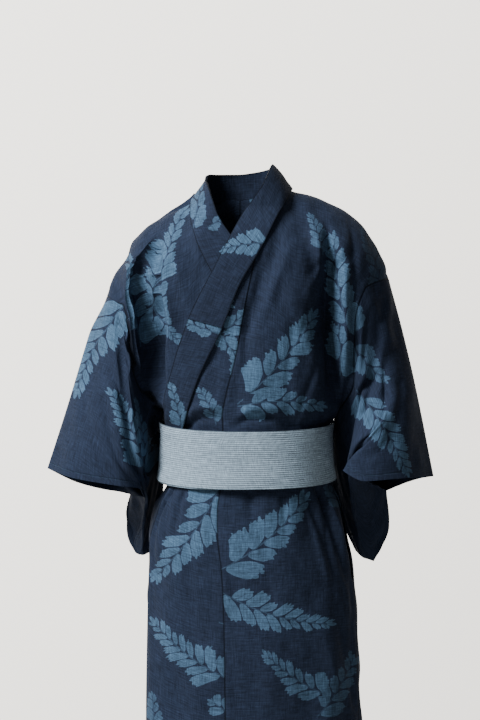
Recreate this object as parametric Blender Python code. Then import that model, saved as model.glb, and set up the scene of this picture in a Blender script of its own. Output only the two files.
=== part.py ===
"""A cotton yukata with its flat obi, hollow, in the form it takes on a standing wearer.

Metres, +Z up. +X is the wearer's left, -Y the front. The origin is the point between the
shoulders, at the base of the neck, where the wearer carries the robe.

Every piece is a sheet of points on one body form, given a wall by moving the points out and
in along their normals. Rows run across a panel, from the shoulder line down to the hem.
"""

import math

import bpy
import numpy as np

# Cloth
COTTON = 0.0015  # wall of a cotton panel
SEAM_GAP = 0.0008  # how far each of two sewn pieces draws back from their seam
UNDER = 0.0100  # how far the right side lies inside the left side, which wraps over it
UNDER_BLEND = 0.08  # width over which it comes out again behind
TUCK = 0.008  # panel edge hidden below the collar band
NECK_CLEAR = 0.004  # round the neck the panels end this far from the band
CLEAR_ROWS = 5  # rows from the shoulder line that end so

# Lengths along the body
ROBE_LENGTH = 1.34  # origin to hem
ARCH = 0.10  # height over which the cloth turns from the shoulder line to the chest
RIDGE_Y = 0.012  # the shoulder line lies a little behind the origin
MIDDLE_X = 0.01  # a line up through the robe, used to tell outside from inside
ARMHOLE_Z = -0.368  # lower end of the armholes
SHOULDER_DEPTH = 0.08  # keeps the fronts and the back apart at the sleeves
ARCH_ROWS = 6
CHEST_ROWS = 8
ARMHOLE_ROW = ARCH_ROWS + CHEST_ROWS

# Collar band and its cover
COLLAR_LIFT = 0.0031  # clear of the panel below
COLLAR_WALL = 0.0020
COLLAR_COLUMNS = 4
NECK_ROWS = 16  # of the band behind the neck
COVER_LIFT = 0.0004
COVER_WALL = 0.0012

# Obi: a flat belt, wound twice and tied behind
OBI_HEIGHT = 0.095
OBI_Z = -0.4285
OBI_TILT = 0.10  # lower in front
OBI_WALL = 0.0015
OBI_LIFTS = {"obi_inner_wrap": 0.0079, "obi_outer_wrap": 0.0104}
OBI_COLUMNS = 48
OBI_ROWS = 4
OBI_INNER_DROP = 0.0025  # the inner winding shows below the outer one on the right side

# Outline of the body at each height: centre, half width, reach to the front and back,
# and how square the outline is (2 is an ellipse)
FORM = (
    # height, centre, half, front, back, square
    (-0.02, 0.004, 0.235, 0.085, 0.085, 2.60),
    (-0.10, 0.005, 0.245, 0.118, 0.110, 2.50),
    (-0.20, 0.006, 0.225, 0.130, 0.118, 2.40),
    (-0.27, 0.008, 0.205, 0.129, 0.112, 2.30),
    (-0.33, 0.010, 0.176, 0.128, 0.108, 2.25),
    (-0.368, 0.012, 0.152, 0.125, 0.105, 2.20),
    (-0.388, 0.0125, 0.136, 0.121, 0.102, 2.20),
    (-0.44, 0.012, 0.138, 0.119, 0.100, 2.20),
    (-0.48, 0.011, 0.144, 0.121, 0.104, 2.20),
    (-0.52, 0.008, 0.163, 0.124, 0.113, 2.20),
    (-0.57, 0.009, 0.175, 0.127, 0.124, 2.20),
    (-0.62, 0.0145, 0.179, 0.129, 0.129, 2.20),
    (-0.70, 0.0185, 0.183, 0.129, 0.131, 2.25),
    (-0.90, 0.0205, 0.187, 0.126, 0.126, 2.30),
    (-1.10, 0.021, 0.186, 0.122, 0.121, 2.30),
    (-1.34, 0.020, 0.178, 0.118, 0.118, 2.30),
)

# Height of the shoulder line, from the right sleeve over the neck to the left sleeve
RIDGE = (
    # x, z
    (-0.239, -0.162),
    (-0.2288, -0.134),
    (-0.2012, -0.0858),
    (-0.1926, -0.0634),
    (-0.1686, -0.0394),
    (-0.1264, -0.0146),
    (-0.0876, 0.0045),
    (-0.065, 0.035),
    (-0.050, 0.056),
    (-0.030, 0.078),
    (0.000, 0.095),
    (0.030, 0.080),
    (0.050, 0.062),
    (0.065, 0.045),
    (0.0872, 0.0165),
    (0.116, 0.0097),
    (0.150, -0.0022),
    (0.191, -0.0244),
    (0.218, -0.0531),
    (0.239, -0.0953),
    (0.2563, -0.134),
)

# Where the sleeves are sewn on, on each face, from the shoulder line down
SLEEVE_SEAMS = {
    # side (1 is the wearer's left), face (-1 is the front): x, z
    (1, -1): (
        (0.2563, -0.134), (0.2108, -0.1536), (0.1956, -0.2076), (0.1922, -0.3155), (0.164, -0.368),
    ),
    (1, 1): (
        (0.2563, -0.134), (0.215, -0.160), (0.196, -0.220), (0.186, -0.315), (0.164, -0.368),
    ),
    (-1, -1): (
        (-0.239, -0.162), (-0.205, -0.182), (-0.188, -0.233), (-0.172, -0.300), (-0.140, -0.368),
    ),
    (-1, 1): (
        (-0.239, -0.162), (-0.210, -0.185), (-0.193, -0.235), (-0.177, -0.300), (-0.140, -0.368),
    ),
}

# Where the collar band is sewn to the fronts: left side over right side
COLLAR_SEAMS = {
    # side: x, z
    1: (
        (0.0872, 0.0165),
        (0.0671, -0.0243),
        (0.0399, -0.0804),
        (0.0232, -0.1105),
        (0.0005, -0.1497),
        (-0.0289, -0.2222),
        (-0.0683, -0.3064),
        (-0.0880, -0.3680),
        (-0.0990, -0.4200),
        (-0.1080, -0.4700),
    ),
    -1: (
        (-0.0876, 0.0045),
        (-0.0864, -0.030),
        (-0.0757, -0.0691),
        (-0.0489, -0.1263),
        (-0.020, -0.170),
        (0.030, -0.250),
        (0.075, -0.330),
        (0.090, -0.368),
        (0.100, -0.420),
        (0.108, -0.470),
    ),
}

# The band's free edge beside each of those stations
COLLAR_EDGES = {
    # side: x, z
    1: (
        (0.0516, 0.0573),
        (0.0371, 0.0190),
        (0.0070, -0.0278),
        (-0.0143, -0.0665),
        (-0.0430, -0.1230),
        (-0.0847, -0.2067),
        (-0.1135, -0.2966),
        (-0.1250, -0.3500),
        (-0.1250, -0.4150),
        (-0.1280, -0.4650),
    ),
    -1: (
        (-0.0634, 0.0368),
        (-0.0360, -0.0326),
        (-0.0143, -0.0665),
        (0.0100, -0.1050),
        (0.0340, -0.1450),
        (0.0780, -0.2150),
        (0.1080, -0.2900),
        (0.1280, -0.3500),
        (0.1330, -0.4150),
        (0.1360, -0.4650),
    ),
}
COVER_STATIONS = 5.0  # the cover reaches down to this station on both sides

# The neck seam behind, from each shoulder to the nape
NECK_SEAMS = {
    # side: x, z
    1: (
        (0.0872, 0.0165), (0.083, 0.0135), (0.070, 0.0080),
        (0.045, 0.004), (0.020, 0.002), (0.0, 0.001),
    ),
    -1: (
        (-0.0876, 0.0045), (-0.083, 0.0040), (-0.070, 0.0030),
        (-0.045, 0.002), (-0.020, 0.0015), (0.0, 0.001),
    ),
}
# The band's upper edge round the neck, from the left shoulder to the right one
NECK_EDGE = (
    # x, y, z
    (0.0516, 0.012, 0.0573),
    (0.0560, 0.032, 0.0600),
    (0.0460, 0.054, 0.0570),
    (0.0250, 0.066, 0.0530),
    (-0.0040, 0.069, 0.0500),
    (-0.0310, 0.065, 0.0500),
    (-0.0520, 0.052, 0.0500),
    (-0.0640, 0.032, 0.0440),
    (-0.0634, 0.012, 0.0368),
)

# Where the overlap panel joins the front: x down to the armhole, then the share of the girth
OVERLAP_SEAMS = {
    # side: x, z
    1: ((0.026, -0.100), (0.0099, -0.179), (-0.0066, -0.267), (-0.0231, -0.333), (-0.0300, -0.368)),
    -1: ((-0.034, -0.150), (-0.006, -0.210), (0.024, -0.280), (0.044, -0.330), (0.0540, -0.368)),
}
OVERLAP_GIRTH = (
    # z, share
    (-0.368, 1.100),
    (-0.49, 1.100),
    (-0.60, 1.093),
    (-0.77, 1.089),
    (-1.34, 1.085),
)
OVERLAP_ROWS = {1: 8, -1: 9}  # the row where the overlap panel begins, at the collar
FREE_EDGE = {
    # side: z, share
    1: ((-0.49, 1.345), (-0.53, 1.355), (-0.60, 1.390), (-0.70, 1.410), (-1.34, 1.420)),
    -1: ((-0.49, 1.330), (-0.60, 1.350), (-0.70, 1.355), (-1.34, 1.360)),
}
# The side seams: z, share
SIDE_GIRTH = ((-0.368, 0.500), (-0.50, 0.545), (-0.62, 0.575), (-1.34, 0.580))

# The pocket mouth in the left side seam
POCKET_TOP = -0.500
POCKET_END = -0.650
POCKET_HALF_MOUTH = 0.020  # share of the girth that each edge draws back

# Shares of a panel's width at which its columns lie, closer together by the armhole
PANEL_COLUMNS = (0, 0.13, 0.26, 0.39, 0.50, 0.60, 0.69, 0.77, 0.84, 0.90, 0.95, 1)
OVERLAP_COLUMNS = (0, 0.2, 0.4, 0.6, 0.8, 1)

# Troughs in the cloth: deepest line, depth and half width along it
TROUGHS = {
    -1: (
        (  # right armpit, from the shoulder to the top of the obi
            # x, z, depth, width
            (-0.121, -0.035, 0.004, 0.010),
            (-0.138, -0.073, 0.010, 0.011),
            (-0.155, -0.100, 0.020, 0.012),
            (-0.168, -0.130, 0.035, 0.013),
            (-0.1655, -0.170, 0.048, 0.014),
            (-0.155, -0.200, 0.055, 0.016),
            (-0.151, -0.258, 0.058, 0.016),
            (-0.148, -0.300, 0.045, 0.015),
            (-0.143, -0.340, 0.018, 0.013),
        ),
        (  # left armpit
            (0.1455, -0.055, 0.006, 0.010),
            (0.149, -0.089, 0.020, 0.011),
            (0.1525, -0.115, 0.035, 0.013),
            (0.1485, -0.150, 0.045, 0.017),
            (0.1445, -0.190, 0.054, 0.020),
            (0.144, -0.225, 0.057, 0.020),
            (0.150, -0.258, 0.056, 0.016),
            (0.156, -0.300, 0.045, 0.014),
            (0.160, -0.340, 0.018, 0.012),
        ),
        (  # from the left shoulder down beside the collar
            (0.074, -0.050, 0.003, 0.012),
            (0.052, -0.110, 0.006, 0.014),
            (0.028, -0.170, 0.006, 0.014),
            (0.012, -0.230, 0.004, 0.012),
        ),
        (  # from the left shoulder towards the armpit
            (0.094, -0.020, 0.003, 0.012),
            (0.108, -0.075, 0.007, 0.014),
            (0.122, -0.118, 0.008, 0.015),
            (0.136, -0.150, 0.006, 0.015),
        ),
    ),
    1: (
        (  # behind the right arm
            (-0.130, -0.060, 0.004, 0.014),
            (-0.160, -0.120, 0.022, 0.018),
            (-0.163, -0.200, 0.036, 0.020),
            (-0.156, -0.280, 0.034, 0.018),
            (-0.148, -0.340, 0.012, 0.014),
        ),
        (  # behind the left arm
            (0.140, -0.050, 0.004, 0.014),
            (0.166, -0.110, 0.022, 0.018),
            (0.168, -0.190, 0.036, 0.020),
            (0.164, -0.270, 0.034, 0.018),
            (0.160, -0.340, 0.012, 0.014),
        ),
    ),
}

FOLD_GROWTH = 0.25  # length over which a fold reaches its depth
# Shallow lengthwise folds of the skirt: where on the girth, how deep and how wide, and from
# which height. The girth runs from 0 behind over 1 in front to 2, round by the left side.
SKIRT_FOLDS = (
    # girth, depth, width, top
    (0.10, 0.006, 0.045, -0.60),
    (0.30, 0.007, 0.040, -0.55),
    (0.66, 0.006, 0.040, -0.52),
    (0.80, 0.004, 0.050, -0.62),
    (1.24, 0.003, 0.050, -0.66),
    (1.66, 0.006, 0.045, -0.58),
    (1.86, 0.007, 0.040, -0.55),
)

# Sleeves: points round the tube at four stages from the armhole (0) to the cuff (1). The
# columns run from the top fold down the front to the lower fold, then up the back.
SLEEVE_TURNS = (0, 0.2, 0.4, 0.5, 0.6, 0.8, 1.0, 1.2, 1.4, 1.6, 1.8)
SLEEVE_STAGES = (0, 0.30, 0.65, 1)
SLEEVES = {
    -1: {
        "inner_edge": (
            (-0.140, 0.0, -0.368), (-0.1455, 0.004, -0.43),
            (-0.152, 0.020, -0.51), (-0.160, 0.060, -0.612),
        ),
        "upper": (
            (-0.262, 0.010, -0.235), (-0.222, -0.062, -0.290), (-0.180, -0.084, -0.372),
            (-0.162, -0.066, -0.418), (-0.157, -0.026, -0.460), (-0.162, 0.016, -0.540),
            (-0.170, 0.058, -0.617), (-0.190, 0.084, -0.545), (-0.182, 0.090, -0.462),
            (-0.202, 0.095, -0.380), (-0.236, 0.068, -0.300),
        ),
        "lower": (
            (-0.296, 0.004, -0.350), (-0.252, -0.068, -0.385), (-0.194, -0.090, -0.440),
            (-0.168, -0.066, -0.470), (-0.159, -0.022, -0.500), (-0.167, 0.028, -0.562),
            (-0.180, 0.068, -0.613), (-0.198, 0.088, -0.562), (-0.194, 0.088, -0.497),
            (-0.222, 0.092, -0.445), (-0.264, 0.062, -0.392),
        ),
        "cuff": (
            (-0.3302, -0.010, -0.4605), (-0.283, -0.066, -0.473), (-0.205, -0.090, -0.485),
            (-0.170, -0.060, -0.492), (-0.163, -0.006, -0.512), (-0.226, 0.082, -0.506),
            (-0.283, 0.052, -0.490),
        ),
        "outer_edge": ((-0.163, -0.006, -0.512), (-0.171, 0.040, -0.556), (-0.190, 0.078, -0.601)),
    },
    1: {
        "inner_edge": (
            (0.164, 0.0, -0.368), (0.1695, 0.002, -0.43),
            (0.182, 0.008, -0.51), (0.204, 0.030, -0.607),
        ),
        "upper": (
            (0.2785, 0.012, -0.215), (0.245, -0.060, -0.270), (0.206, -0.072, -0.352),
            (0.190, -0.060, -0.400), (0.184, -0.026, -0.450), (0.195, 0.008, -0.535),
            (0.210, 0.036, -0.616), (0.224, 0.062, -0.535), (0.216, 0.072, -0.450),
            (0.230, 0.090, -0.375), (0.258, 0.068, -0.290),
        ),
        "lower": (
            (0.3050, 0.008, -0.330), (0.268, -0.082, -0.360), (0.212, -0.112, -0.400),
            (0.186, -0.092, -0.432), (0.190, -0.036, -0.478), (0.204, 0.014, -0.555),
            (0.224, 0.046, -0.623), (0.242, 0.074, -0.560), (0.234, 0.082, -0.492),
            (0.252, 0.090, -0.440), (0.284, 0.062, -0.385),
        ),
        "cuff": (
            (0.3325, -0.005, -0.4745), (0.272, -0.095, -0.472), (0.205, -0.120, -0.475),
            (0.171, -0.096, -0.459), (0.2555, 0.045, -0.503), (0.286, 0.048, -0.491),
            (0.312, 0.030, -0.481),
        ),
        "outer_edge": ((0.2555, 0.045, -0.503), (0.262, 0.056, -0.566), (0.234, 0.050, -0.627)),
    },
}
SLEEVE_ROWS = 12
OPEN_TURN = 0.6  # at the ends of a sleeve the tube is open down to this turn, and sewn up below
EDGE_COLUMNS = 8  # of the sewn-up part
FOLD_START = 0.08  # the folds leave the first part of the sleeve alone, by the armhole seam
# Folds on the sleeves: stage along the sleeve, turn round it, depth, width (in turns)
SLEEVE_FOLDS = {
    -1: (
        ((0.18, 0.30, 0.006, 0.05), (0.42, 0.38, 0.012, 0.05), (0.62, 0.47, 0.010, 0.05)),
        ((0.25, 1.60, 0.008, 0.06), (0.60, 1.66, 0.008, 0.06)),
    ),
    1: (
        ((0.08, 0.16, 0.010, 0.05), (0.20, 0.26, 0.012, 0.06), (0.34, 0.36, 0.010, 0.06)),
        ((0.25, 1.64, 0.008, 0.06), (0.60, 1.58, 0.008, 0.06)),
    ),
}

# The knot's flat ends, on the back of the obi: middle, half sizes, turn and lift
KNOT_PIECES = {
    # name: x, z, half width, half length, degrees from upright, lift at the root, at the tip
    "obi_knot": (0.010, -0.420, 0.030, 0.050, 8, 0.0180, 0.0180),
    "obi_tare": (0.042, -0.392, 0.0475, 0.068, -48, 0.0210, 0.0250),
    "obi_te": (-0.030, -0.385, 0.0235, 0.062, 52, 0.0270, 0.0330),
}
KNOT_WALL = 0.0024  # folded double
KNOT_Z = -0.4185  # the height at which the pieces take the shape of the back
KNOT_COLUMNS = 6
KNOT_ROWS = 8

NAVY = (0.036, 0.056, 0.094, 1)
NAVY_DARK = (0.026, 0.040, 0.068, 1)
GREY_BLUE = (0.40, 0.47, 0.53, 1)


def smooth(low, high, value):
    """0 below low, 1 above high, and a soft step between."""
    t = np.clip((np.asarray(value, float) - low) / (high - low), 0, 1)
    return t * t * (3 - 2 * t)


def spline(knots, values, at):
    """Values at the places given, on a smooth curve through the knots that doesn't overshoot."""
    knots = np.asarray(knots, float)
    values = np.asarray(values, float)
    flat = values.reshape(len(knots), -1)
    steps = np.diff(knots)[:, None]
    slopes = np.diff(flat, axis=0) / steps
    tangents = np.vstack([slopes[:1], np.zeros((len(knots) - 2, flat.shape[1])), slopes[-1:]])
    before, after = slopes[:-1], slopes[1:]
    same = before * after > 0
    mean = 2 * before * after / np.where(same, before + after, 1)
    tangents[1:-1] = np.where(same, mean, 0)
    at = np.clip(np.asarray(at, float), knots[0], knots[-1])
    span = np.clip(np.searchsorted(knots, at, side="right") - 1, 0, len(knots) - 2)
    t = ((at - knots[span]) / steps[span, 0])[..., None]
    step = steps[span]
    found = (
        flat[span] * (1 + 2 * t) * (1 - t) ** 2
        + tangents[span] * step * t * (1 - t) ** 2
        + flat[span + 1] * t * t * (3 - 2 * t)
        - tangents[span + 1] * step * t * t * (1 - t)
    )
    return found.reshape(at.shape + values.shape[1:])


def column_of(table, at, column):
    """One column of a table whose first column falls, at the heights given."""
    rows = np.asarray(table, float)
    return spline(-rows[:, 0], rows[:, column], -np.asarray(at, float))


def curve_x(table, z):
    """x on a seam given as (x, z) points from the top down."""
    rows = np.asarray(table, float)
    return spline(-rows[:, 1], rows[:, 0], -np.asarray(z, float))


def form_at(z):
    rows = np.asarray(FORM, float)
    return np.moveaxis(spline(-rows[:, 0], rows[:, 1:], -np.asarray(z, float)), -1, 0)


def ridge_height(x):
    rows = np.asarray(RIDGE, float)
    return spline(rows[:, 0], rows[:, 1], x)


def trough_depth(x, z, paths):
    """How far the troughs draw the cloth in at each point."""
    deepest = np.zeros(np.shape(x))
    for path in paths:
        rows = np.asarray(path, float)
        nearest = np.full(np.shape(x), np.inf)
        here = np.zeros(np.shape(x))
        for start, end in zip(rows[:-1], rows[1:]):
            run = end[:2] - start[:2]
            t = np.clip(((x - start[0]) * run[0] + (z - start[1]) * run[1]) / (run @ run), 0, 1)
            away = np.hypot(x - start[0] - t * run[0], z - start[1] - t * run[1])
            depth = start[2] + t * (end[2] - start[2])
            width = start[3] + t * (end[3] - start[3])
            closer = away < nearest
            nearest = np.where(closer, away, nearest)
            here = np.where(closer, depth * np.exp(-((away / width) ** 2)), here)
        deepest = np.maximum(deepest, here)
    return deepest


def body_y(x, z, face):
    """Depth of the upper body at x, z, in front (face -1) or behind (face 1)."""
    centre, half, front, back, square = form_at(z)
    reach = front if face < 0 else back
    widest = 1 - SHOULDER_DEPTH * smooth(ARMHOLE_Z, -0.30, z)
    share = np.clip(np.abs(x - centre) / half, 0, widest)
    full = reach * (1 - share**square) ** (1 / square)
    drop = np.clip((ridge_height(x) - z) / ARCH, 0, 1)
    swing = np.sqrt(drop * (2 - drop))
    trough = trough_depth(x, z, TROUGHS[face]) * smooth(ARMHOLE_Z, ARMHOLE_Z + 0.03, z) * swing
    return RIDGE_Y + (face * full - RIDGE_Y) * swing - face * trough


def fold_depth(z, girth):
    """How far the skirt's folds draw the cloth in, at a girth from 0 to 2."""
    depth = np.zeros(np.shape(girth))
    for place, deep, width, top in SKIRT_FOLDS:
        grown = smooth(-top, -top + FOLD_GROWTH, -z)
        away = (girth - place + 1) % 2 - 1
        depth = depth + deep * grown * np.exp(-((away / width) ** 2))
    return depth


def ring(z, side, share):
    """Outline of the body at height z. share is 0 behind, 0.5 at that side, 1 in front, and
    1.5 at the far side."""
    centre, half, front, back, square = form_at(z)
    turn = np.linspace(0, math.pi / 2, 129)
    across = half * np.sin(turn) ** (2 / square)
    share = np.asarray(share, float)
    points = []
    for reach, sign in ((back, 1), (front, -1)):
        along = sign * reach * np.cos(turn) ** (2 / square)
        length = np.concatenate([[0], np.cumsum(np.hypot(np.diff(across), np.diff(along)))])
        part = np.where(share < 0.5, share, np.abs(1 - share)) * 2 * length[-1]
        points.append((np.interp(part, length, across), np.interp(part, length, along)))
    behind = share < 0.5
    x = np.where(behind, points[0][0], points[1][0])
    y = np.where(behind, points[0][1], points[1][1])
    x = x * np.where(share > 1, -side, side)
    girth = share if side > 0 else 2 - share
    shrink = 1 - fold_depth(z, girth) / np.hypot(x, y)
    return np.stack([centre + x * shrink, y * shrink, np.full(x.shape, float(z))], -1)


def lower_heights():
    """Heights of the rows below the armholes."""
    return np.concatenate([
        np.linspace(-0.388, -0.50, 5),
        np.linspace(-0.50, -0.68, 6)[1:],
        np.linspace(-0.68, -ROBE_LENGTH, 12)[1:],
    ])


ROWS = ARMHOLE_ROW + len(lower_heights()) + 1


def row_height(row, x):
    """Height of an upper row at x."""
    top = ridge_height(x)
    if row <= ARCH_ROWS:
        return top - ARCH * (1 - math.cos(math.pi / 2 * row / ARCH_ROWS))
    t = (row - ARCH_ROWS) / CHEST_ROWS
    return (top - ARCH) * (1 - t) + ARMHOLE_Z * t


# Where to look along a row for each kind of seam: x of a left panel, from the middle outwards
COLLAR_SPAN = (-0.13, 0.22)
OVERLAP_SPAN = (-0.06, 0.22)
NECK_SPAN = (0.0, 0.15)
SLEEVE_SPAN_START = 0.10


def crossing(row, seam, side, near, far):
    """x at which an upper row crosses a seam, on the way from near to far."""
    x = np.linspace(near, far, 400)
    beyond = side * (x - curve_x(seam, row_height(row, x)))
    first = int(np.argmax(beyond >= 0))
    if beyond[first] < 0:
        return far
    if first == 0:
        return near
    t = -beyond[first - 1] / (beyond[first] - beyond[first - 1])
    return x[first - 1] + t * (x[first] - x[first - 1])


def upper_row(row, face, start, end, columns):
    """Points of an upper row from x start to x end, spaced along the cloth by the columns' shares."""
    x = np.linspace(start, end, 241)
    z = row_height(row, x)
    y = body_y(x, z, face)
    dense = np.stack([x, y, z], -1)
    length = np.concatenate([[0], np.cumsum(np.linalg.norm(np.diff(dense, axis=0), axis=1))])
    places = np.interp(np.asarray(columns) * length[-1], length, x)
    places[0], places[-1] = start, end
    z = row_height(row, places)
    return np.stack([places, body_y(places, z, face), z], -1)


def pocket_open(z):
    """1 in the middle of the pocket mouth, 0 at its ends."""
    return np.clip(1 - (2 * (z - POCKET_TOP) / (POCKET_END - POCKET_TOP) - 1) ** 2, 0, 1) ** 0.5


def side_share(z, side, face):
    """Share of the girth at which a panel meets the side seam."""
    share = column_of(SIDE_GIRTH, z, 1)
    if side > 0:
        share = share - face * POCKET_HALF_MOUTH * pocket_open(z)
    return share


def collar_x(row, side):
    """x of the collar's seam on an upper row."""
    near, far = COLLAR_SPAN
    return crossing(row, COLLAR_SEAMS[side], side, side * near, side * far)


def overlap_x(row, side):
    """x of the seam between the front and the overlap panel, which starts at the collar."""
    if row == OVERLAP_ROWS[side]:
        return collar_x(row, side)
    near, far = OVERLAP_SPAN
    return crossing(row, OVERLAP_SEAMS[side], side, side * near, side * far)


def panel_start(row, side):
    """x at which a front begins: under the collar band, or just clear of it by the neck."""
    if row == 0:
        return COLLAR_SEAMS[side][0][0] + side * NECK_CLEAR
    return collar_x(row, side) + side * (NECK_CLEAR if row < CLEAR_ROWS else -TUCK)


def front_panel(side):
    rows = []
    for row in range(ROWS):
        if row <= ARMHOLE_ROW:
            start = panel_start(row, side)
            if row >= OVERLAP_ROWS[side]:
                start = overlap_x(row, side)
            end = sleeve_x(row, side, -1)
            rows.append(upper_row(row, -1, start, end, PANEL_COLUMNS))
        else:
            z = lower_heights()[row - ARMHOLE_ROW - 1]
            inner, outer = column_of(OVERLAP_GIRTH, z, 1), side_share(z, side, -1)
            rows.append(ring(z, side, inner + (outer - inner) * np.asarray(PANEL_COLUMNS)))
    return np.array(rows)


def sleeve_x(row, side, face):
    """x of the sleeve's seam on an upper row."""
    if row == ARMHOLE_ROW:
        centre, half = form_at(ARMHOLE_Z)[:2]
        return float(centre + side * half)
    seam = SLEEVE_SEAMS[side, face]
    if row == 0:
        return seam[0][0]
    return crossing(row, seam, side, side * SLEEVE_SPAN_START, seam[0][0])


def back_panel(side):
    rows = []
    for row in range(ROWS):
        if row <= ARMHOLE_ROW:
            if row == 0:
                start = panel_start(0, side)
            elif row < ARCH_ROWS:
                near, far = NECK_SPAN
                seam_x = crossing(row, NECK_SEAMS[side], side, side * near, side * far)
                start = seam_x + side * NECK_CLEAR
            else:
                start = 0.0
            rows.append(upper_row(row, 1, start, sleeve_x(row, side, 1), PANEL_COLUMNS))
        else:
            z = lower_heights()[row - ARMHOLE_ROW - 1]
            rows.append(ring(z, side, side_share(z, side, 1) * np.asarray(PANEL_COLUMNS)))
    return np.array(rows)


def overlap_panel(side):
    """The overlap panel, from its seam with the front to the collar and the free edge."""
    rows = []
    first = OVERLAP_ROWS[side]
    for row in range(first, ROWS):
        if row <= ARMHOLE_ROW:
            start = overlap_x(row, side)
            end = collar_x(row, side) - side * TUCK
            rows.append(upper_row(row, -1, start, end, OVERLAP_COLUMNS))
            continue
        z = lower_heights()[row - ARMHOLE_ROW - 1]
        start = column_of(OVERLAP_GIRTH, z, 1)
        if z > FREE_EDGE[side][0][0]:
            end = share_of_x(z, side, curve_x(COLLAR_SEAMS[side], z) - side * TUCK)
        else:
            end = column_of(FREE_EDGE[side], z, 1)
        rows.append(ring(z, side, start + (end - start) * np.asarray(OVERLAP_COLUMNS)))
    return np.array(rows)


def share_of_x(z, side, x):
    """Share of the girth at which the front of the body has this x."""
    shares = np.linspace(0.5, 1.5, 801)
    reached = side * ring(z, side, shares)[:, 0]
    return float(np.interp(-side * x, -reached, shares))


def round_points(stage, turns):
    """Points at the turns given on a closed loop through the stage's points."""
    knots = np.array([-0.4, -0.2, *SLEEVE_TURNS, 2.0, 2.2])
    points = np.asarray(stage, float)
    loop = np.vstack([points[-2:], points, points[:2]])
    slopes = np.gradient(loop, knots, axis=0)
    span = np.clip(np.searchsorted(knots, turns, side="right") - 1, 0, len(knots) - 2)
    step = (knots[span + 1] - knots[span])[:, None]
    t = (np.asarray(turns) - knots[span])[:, None] / step
    return (
        loop[span] * (1 + 2 * t) * (1 - t) ** 2
        + slopes[span] * step * t * (1 - t) ** 2
        + loop[span + 1] * t * t * (3 - 2 * t)
        - slopes[span + 1] * step * t * t * (1 - t)
    )


def along_line(points, count):
    """count + 1 points spaced evenly along a smooth line through the points."""
    points = np.asarray(points, float)
    knots = np.concatenate([[0], np.cumsum(np.linalg.norm(np.diff(points, axis=0), axis=1))])
    return spline(knots, points, np.linspace(0, knots[-1], count + 1))


def sleeve_tube(side, front, back):
    """Points of a sleeve, rows from the armhole to the cuff, columns round the tube."""
    sleeve = SLEEVES[side]
    down = ARMHOLE_ROW
    open_turns = np.linspace(0, OPEN_TURN, down + 1)
    sewn_turns = np.linspace(OPEN_TURN, 1, EDGE_COLUMNS + 1)
    turns = np.concatenate([open_turns, sewn_turns[1:]])
    turns = np.concatenate([turns, 2 - turns[-2:0:-1]])
    inner = along_line(sleeve["inner_edge"], EDGE_COLUMNS)
    outer = along_line(sleeve["outer_edge"], EDGE_COLUMNS)
    armhole = np.vstack([front, inner[1:], inner[-2:0:-1], back[:0:-1]])
    cuff = sleeve["cuff"]
    cuff_front = along_line(cuff[:5], down)
    cuff_back = along_line((cuff[0], cuff[6], cuff[5], cuff[4]), down)
    opening = np.vstack([cuff_front, outer[1:], outer[-2:0:-1], cuff_back[:0:-1]])
    upper = round_points(sleeve["upper"], turns)
    lower = round_points(sleeve["lower"], turns)
    at = np.linspace(0, 1, SLEEVE_ROWS + 1)
    tube = cubic_stages(SLEEVE_STAGES, np.array([armhole, upper, lower, opening]), at)
    return tube, turns, at


def cubic_stages(knots, values, at):
    """A smooth curve through four stages, with the slope of its neighbours at each."""
    knots = np.asarray(knots, float)
    slopes = np.gradient(values, knots, axis=0)
    slopes[0] = (values[1] - values[0]) / (knots[1] - knots[0])
    slopes[-1] = (values[-1] - values[-2]) / (knots[-1] - knots[-2])
    span = np.clip(np.searchsorted(knots, at, side="right") - 1, 0, len(knots) - 2)
    step = (knots[span + 1] - knots[span])[:, None, None]
    t = (at - knots[span])[:, None, None] / step
    return (
        values[span] * (1 + 2 * t) * (1 - t) ** 2
        + slopes[span] * step * t * (1 - t) ** 2
        + values[span + 1] * t * t * (3 - 2 * t)
        - slopes[span + 1] * step * t * t * (1 - t)
    )


class Sheet:
    """A grid of points with normals, and how far its two faces lie out from them."""

    def __init__(self, points, loop=False, welds=(), inside=None):
        self.rows, self.columns = points.shape[:2]
        self.points = points.reshape(-1, 3).astype(float)
        self.outer = np.zeros(len(self.points))
        self.wall = COTTON
        same = np.arange(len(self.points))
        for kept, dropped in welds:
            same[dropped] = kept
        quads = []
        for row in range(self.rows - 1):
            for column in range(self.columns if loop else self.columns - 1):
                after = (column + 1) % self.columns
                base, below = row * self.columns, (row + 1) * self.columns
                quads.append((base + column, base + after, below + after, below + column))
        self.quads = same[np.array(quads)]
        self.find_normals(inside)

    def find_normals(self, inside):
        corners = self.points[self.quads]
        facing = np.cross(corners[:, 2] - corners[:, 0], corners[:, 3] - corners[:, 1])
        if inside is None:
            inside = self.middle_line(corners)
        away = corners.mean(axis=1) - inside
        if (facing * away).sum() < 0:
            self.quads = self.quads[:, ::-1]
            facing = -facing
        self.normals = np.zeros_like(self.points)
        for corner in range(4):
            np.add.at(self.normals, self.quads[:, corner], facing)
        self.normals /= np.maximum(np.linalg.norm(self.normals, axis=1, keepdims=True), 1e-12)

    def middle_line(self, corners):
        """For each quad, the point inside the body at its height."""
        inside = np.zeros((len(corners), 3))
        inside[:, 0] = MIDDLE_X
        inside[:, 2] = corners[:, :, 2].mean(axis=1)
        return inside

    def used(self):
        return np.unique(self.quads)


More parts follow.
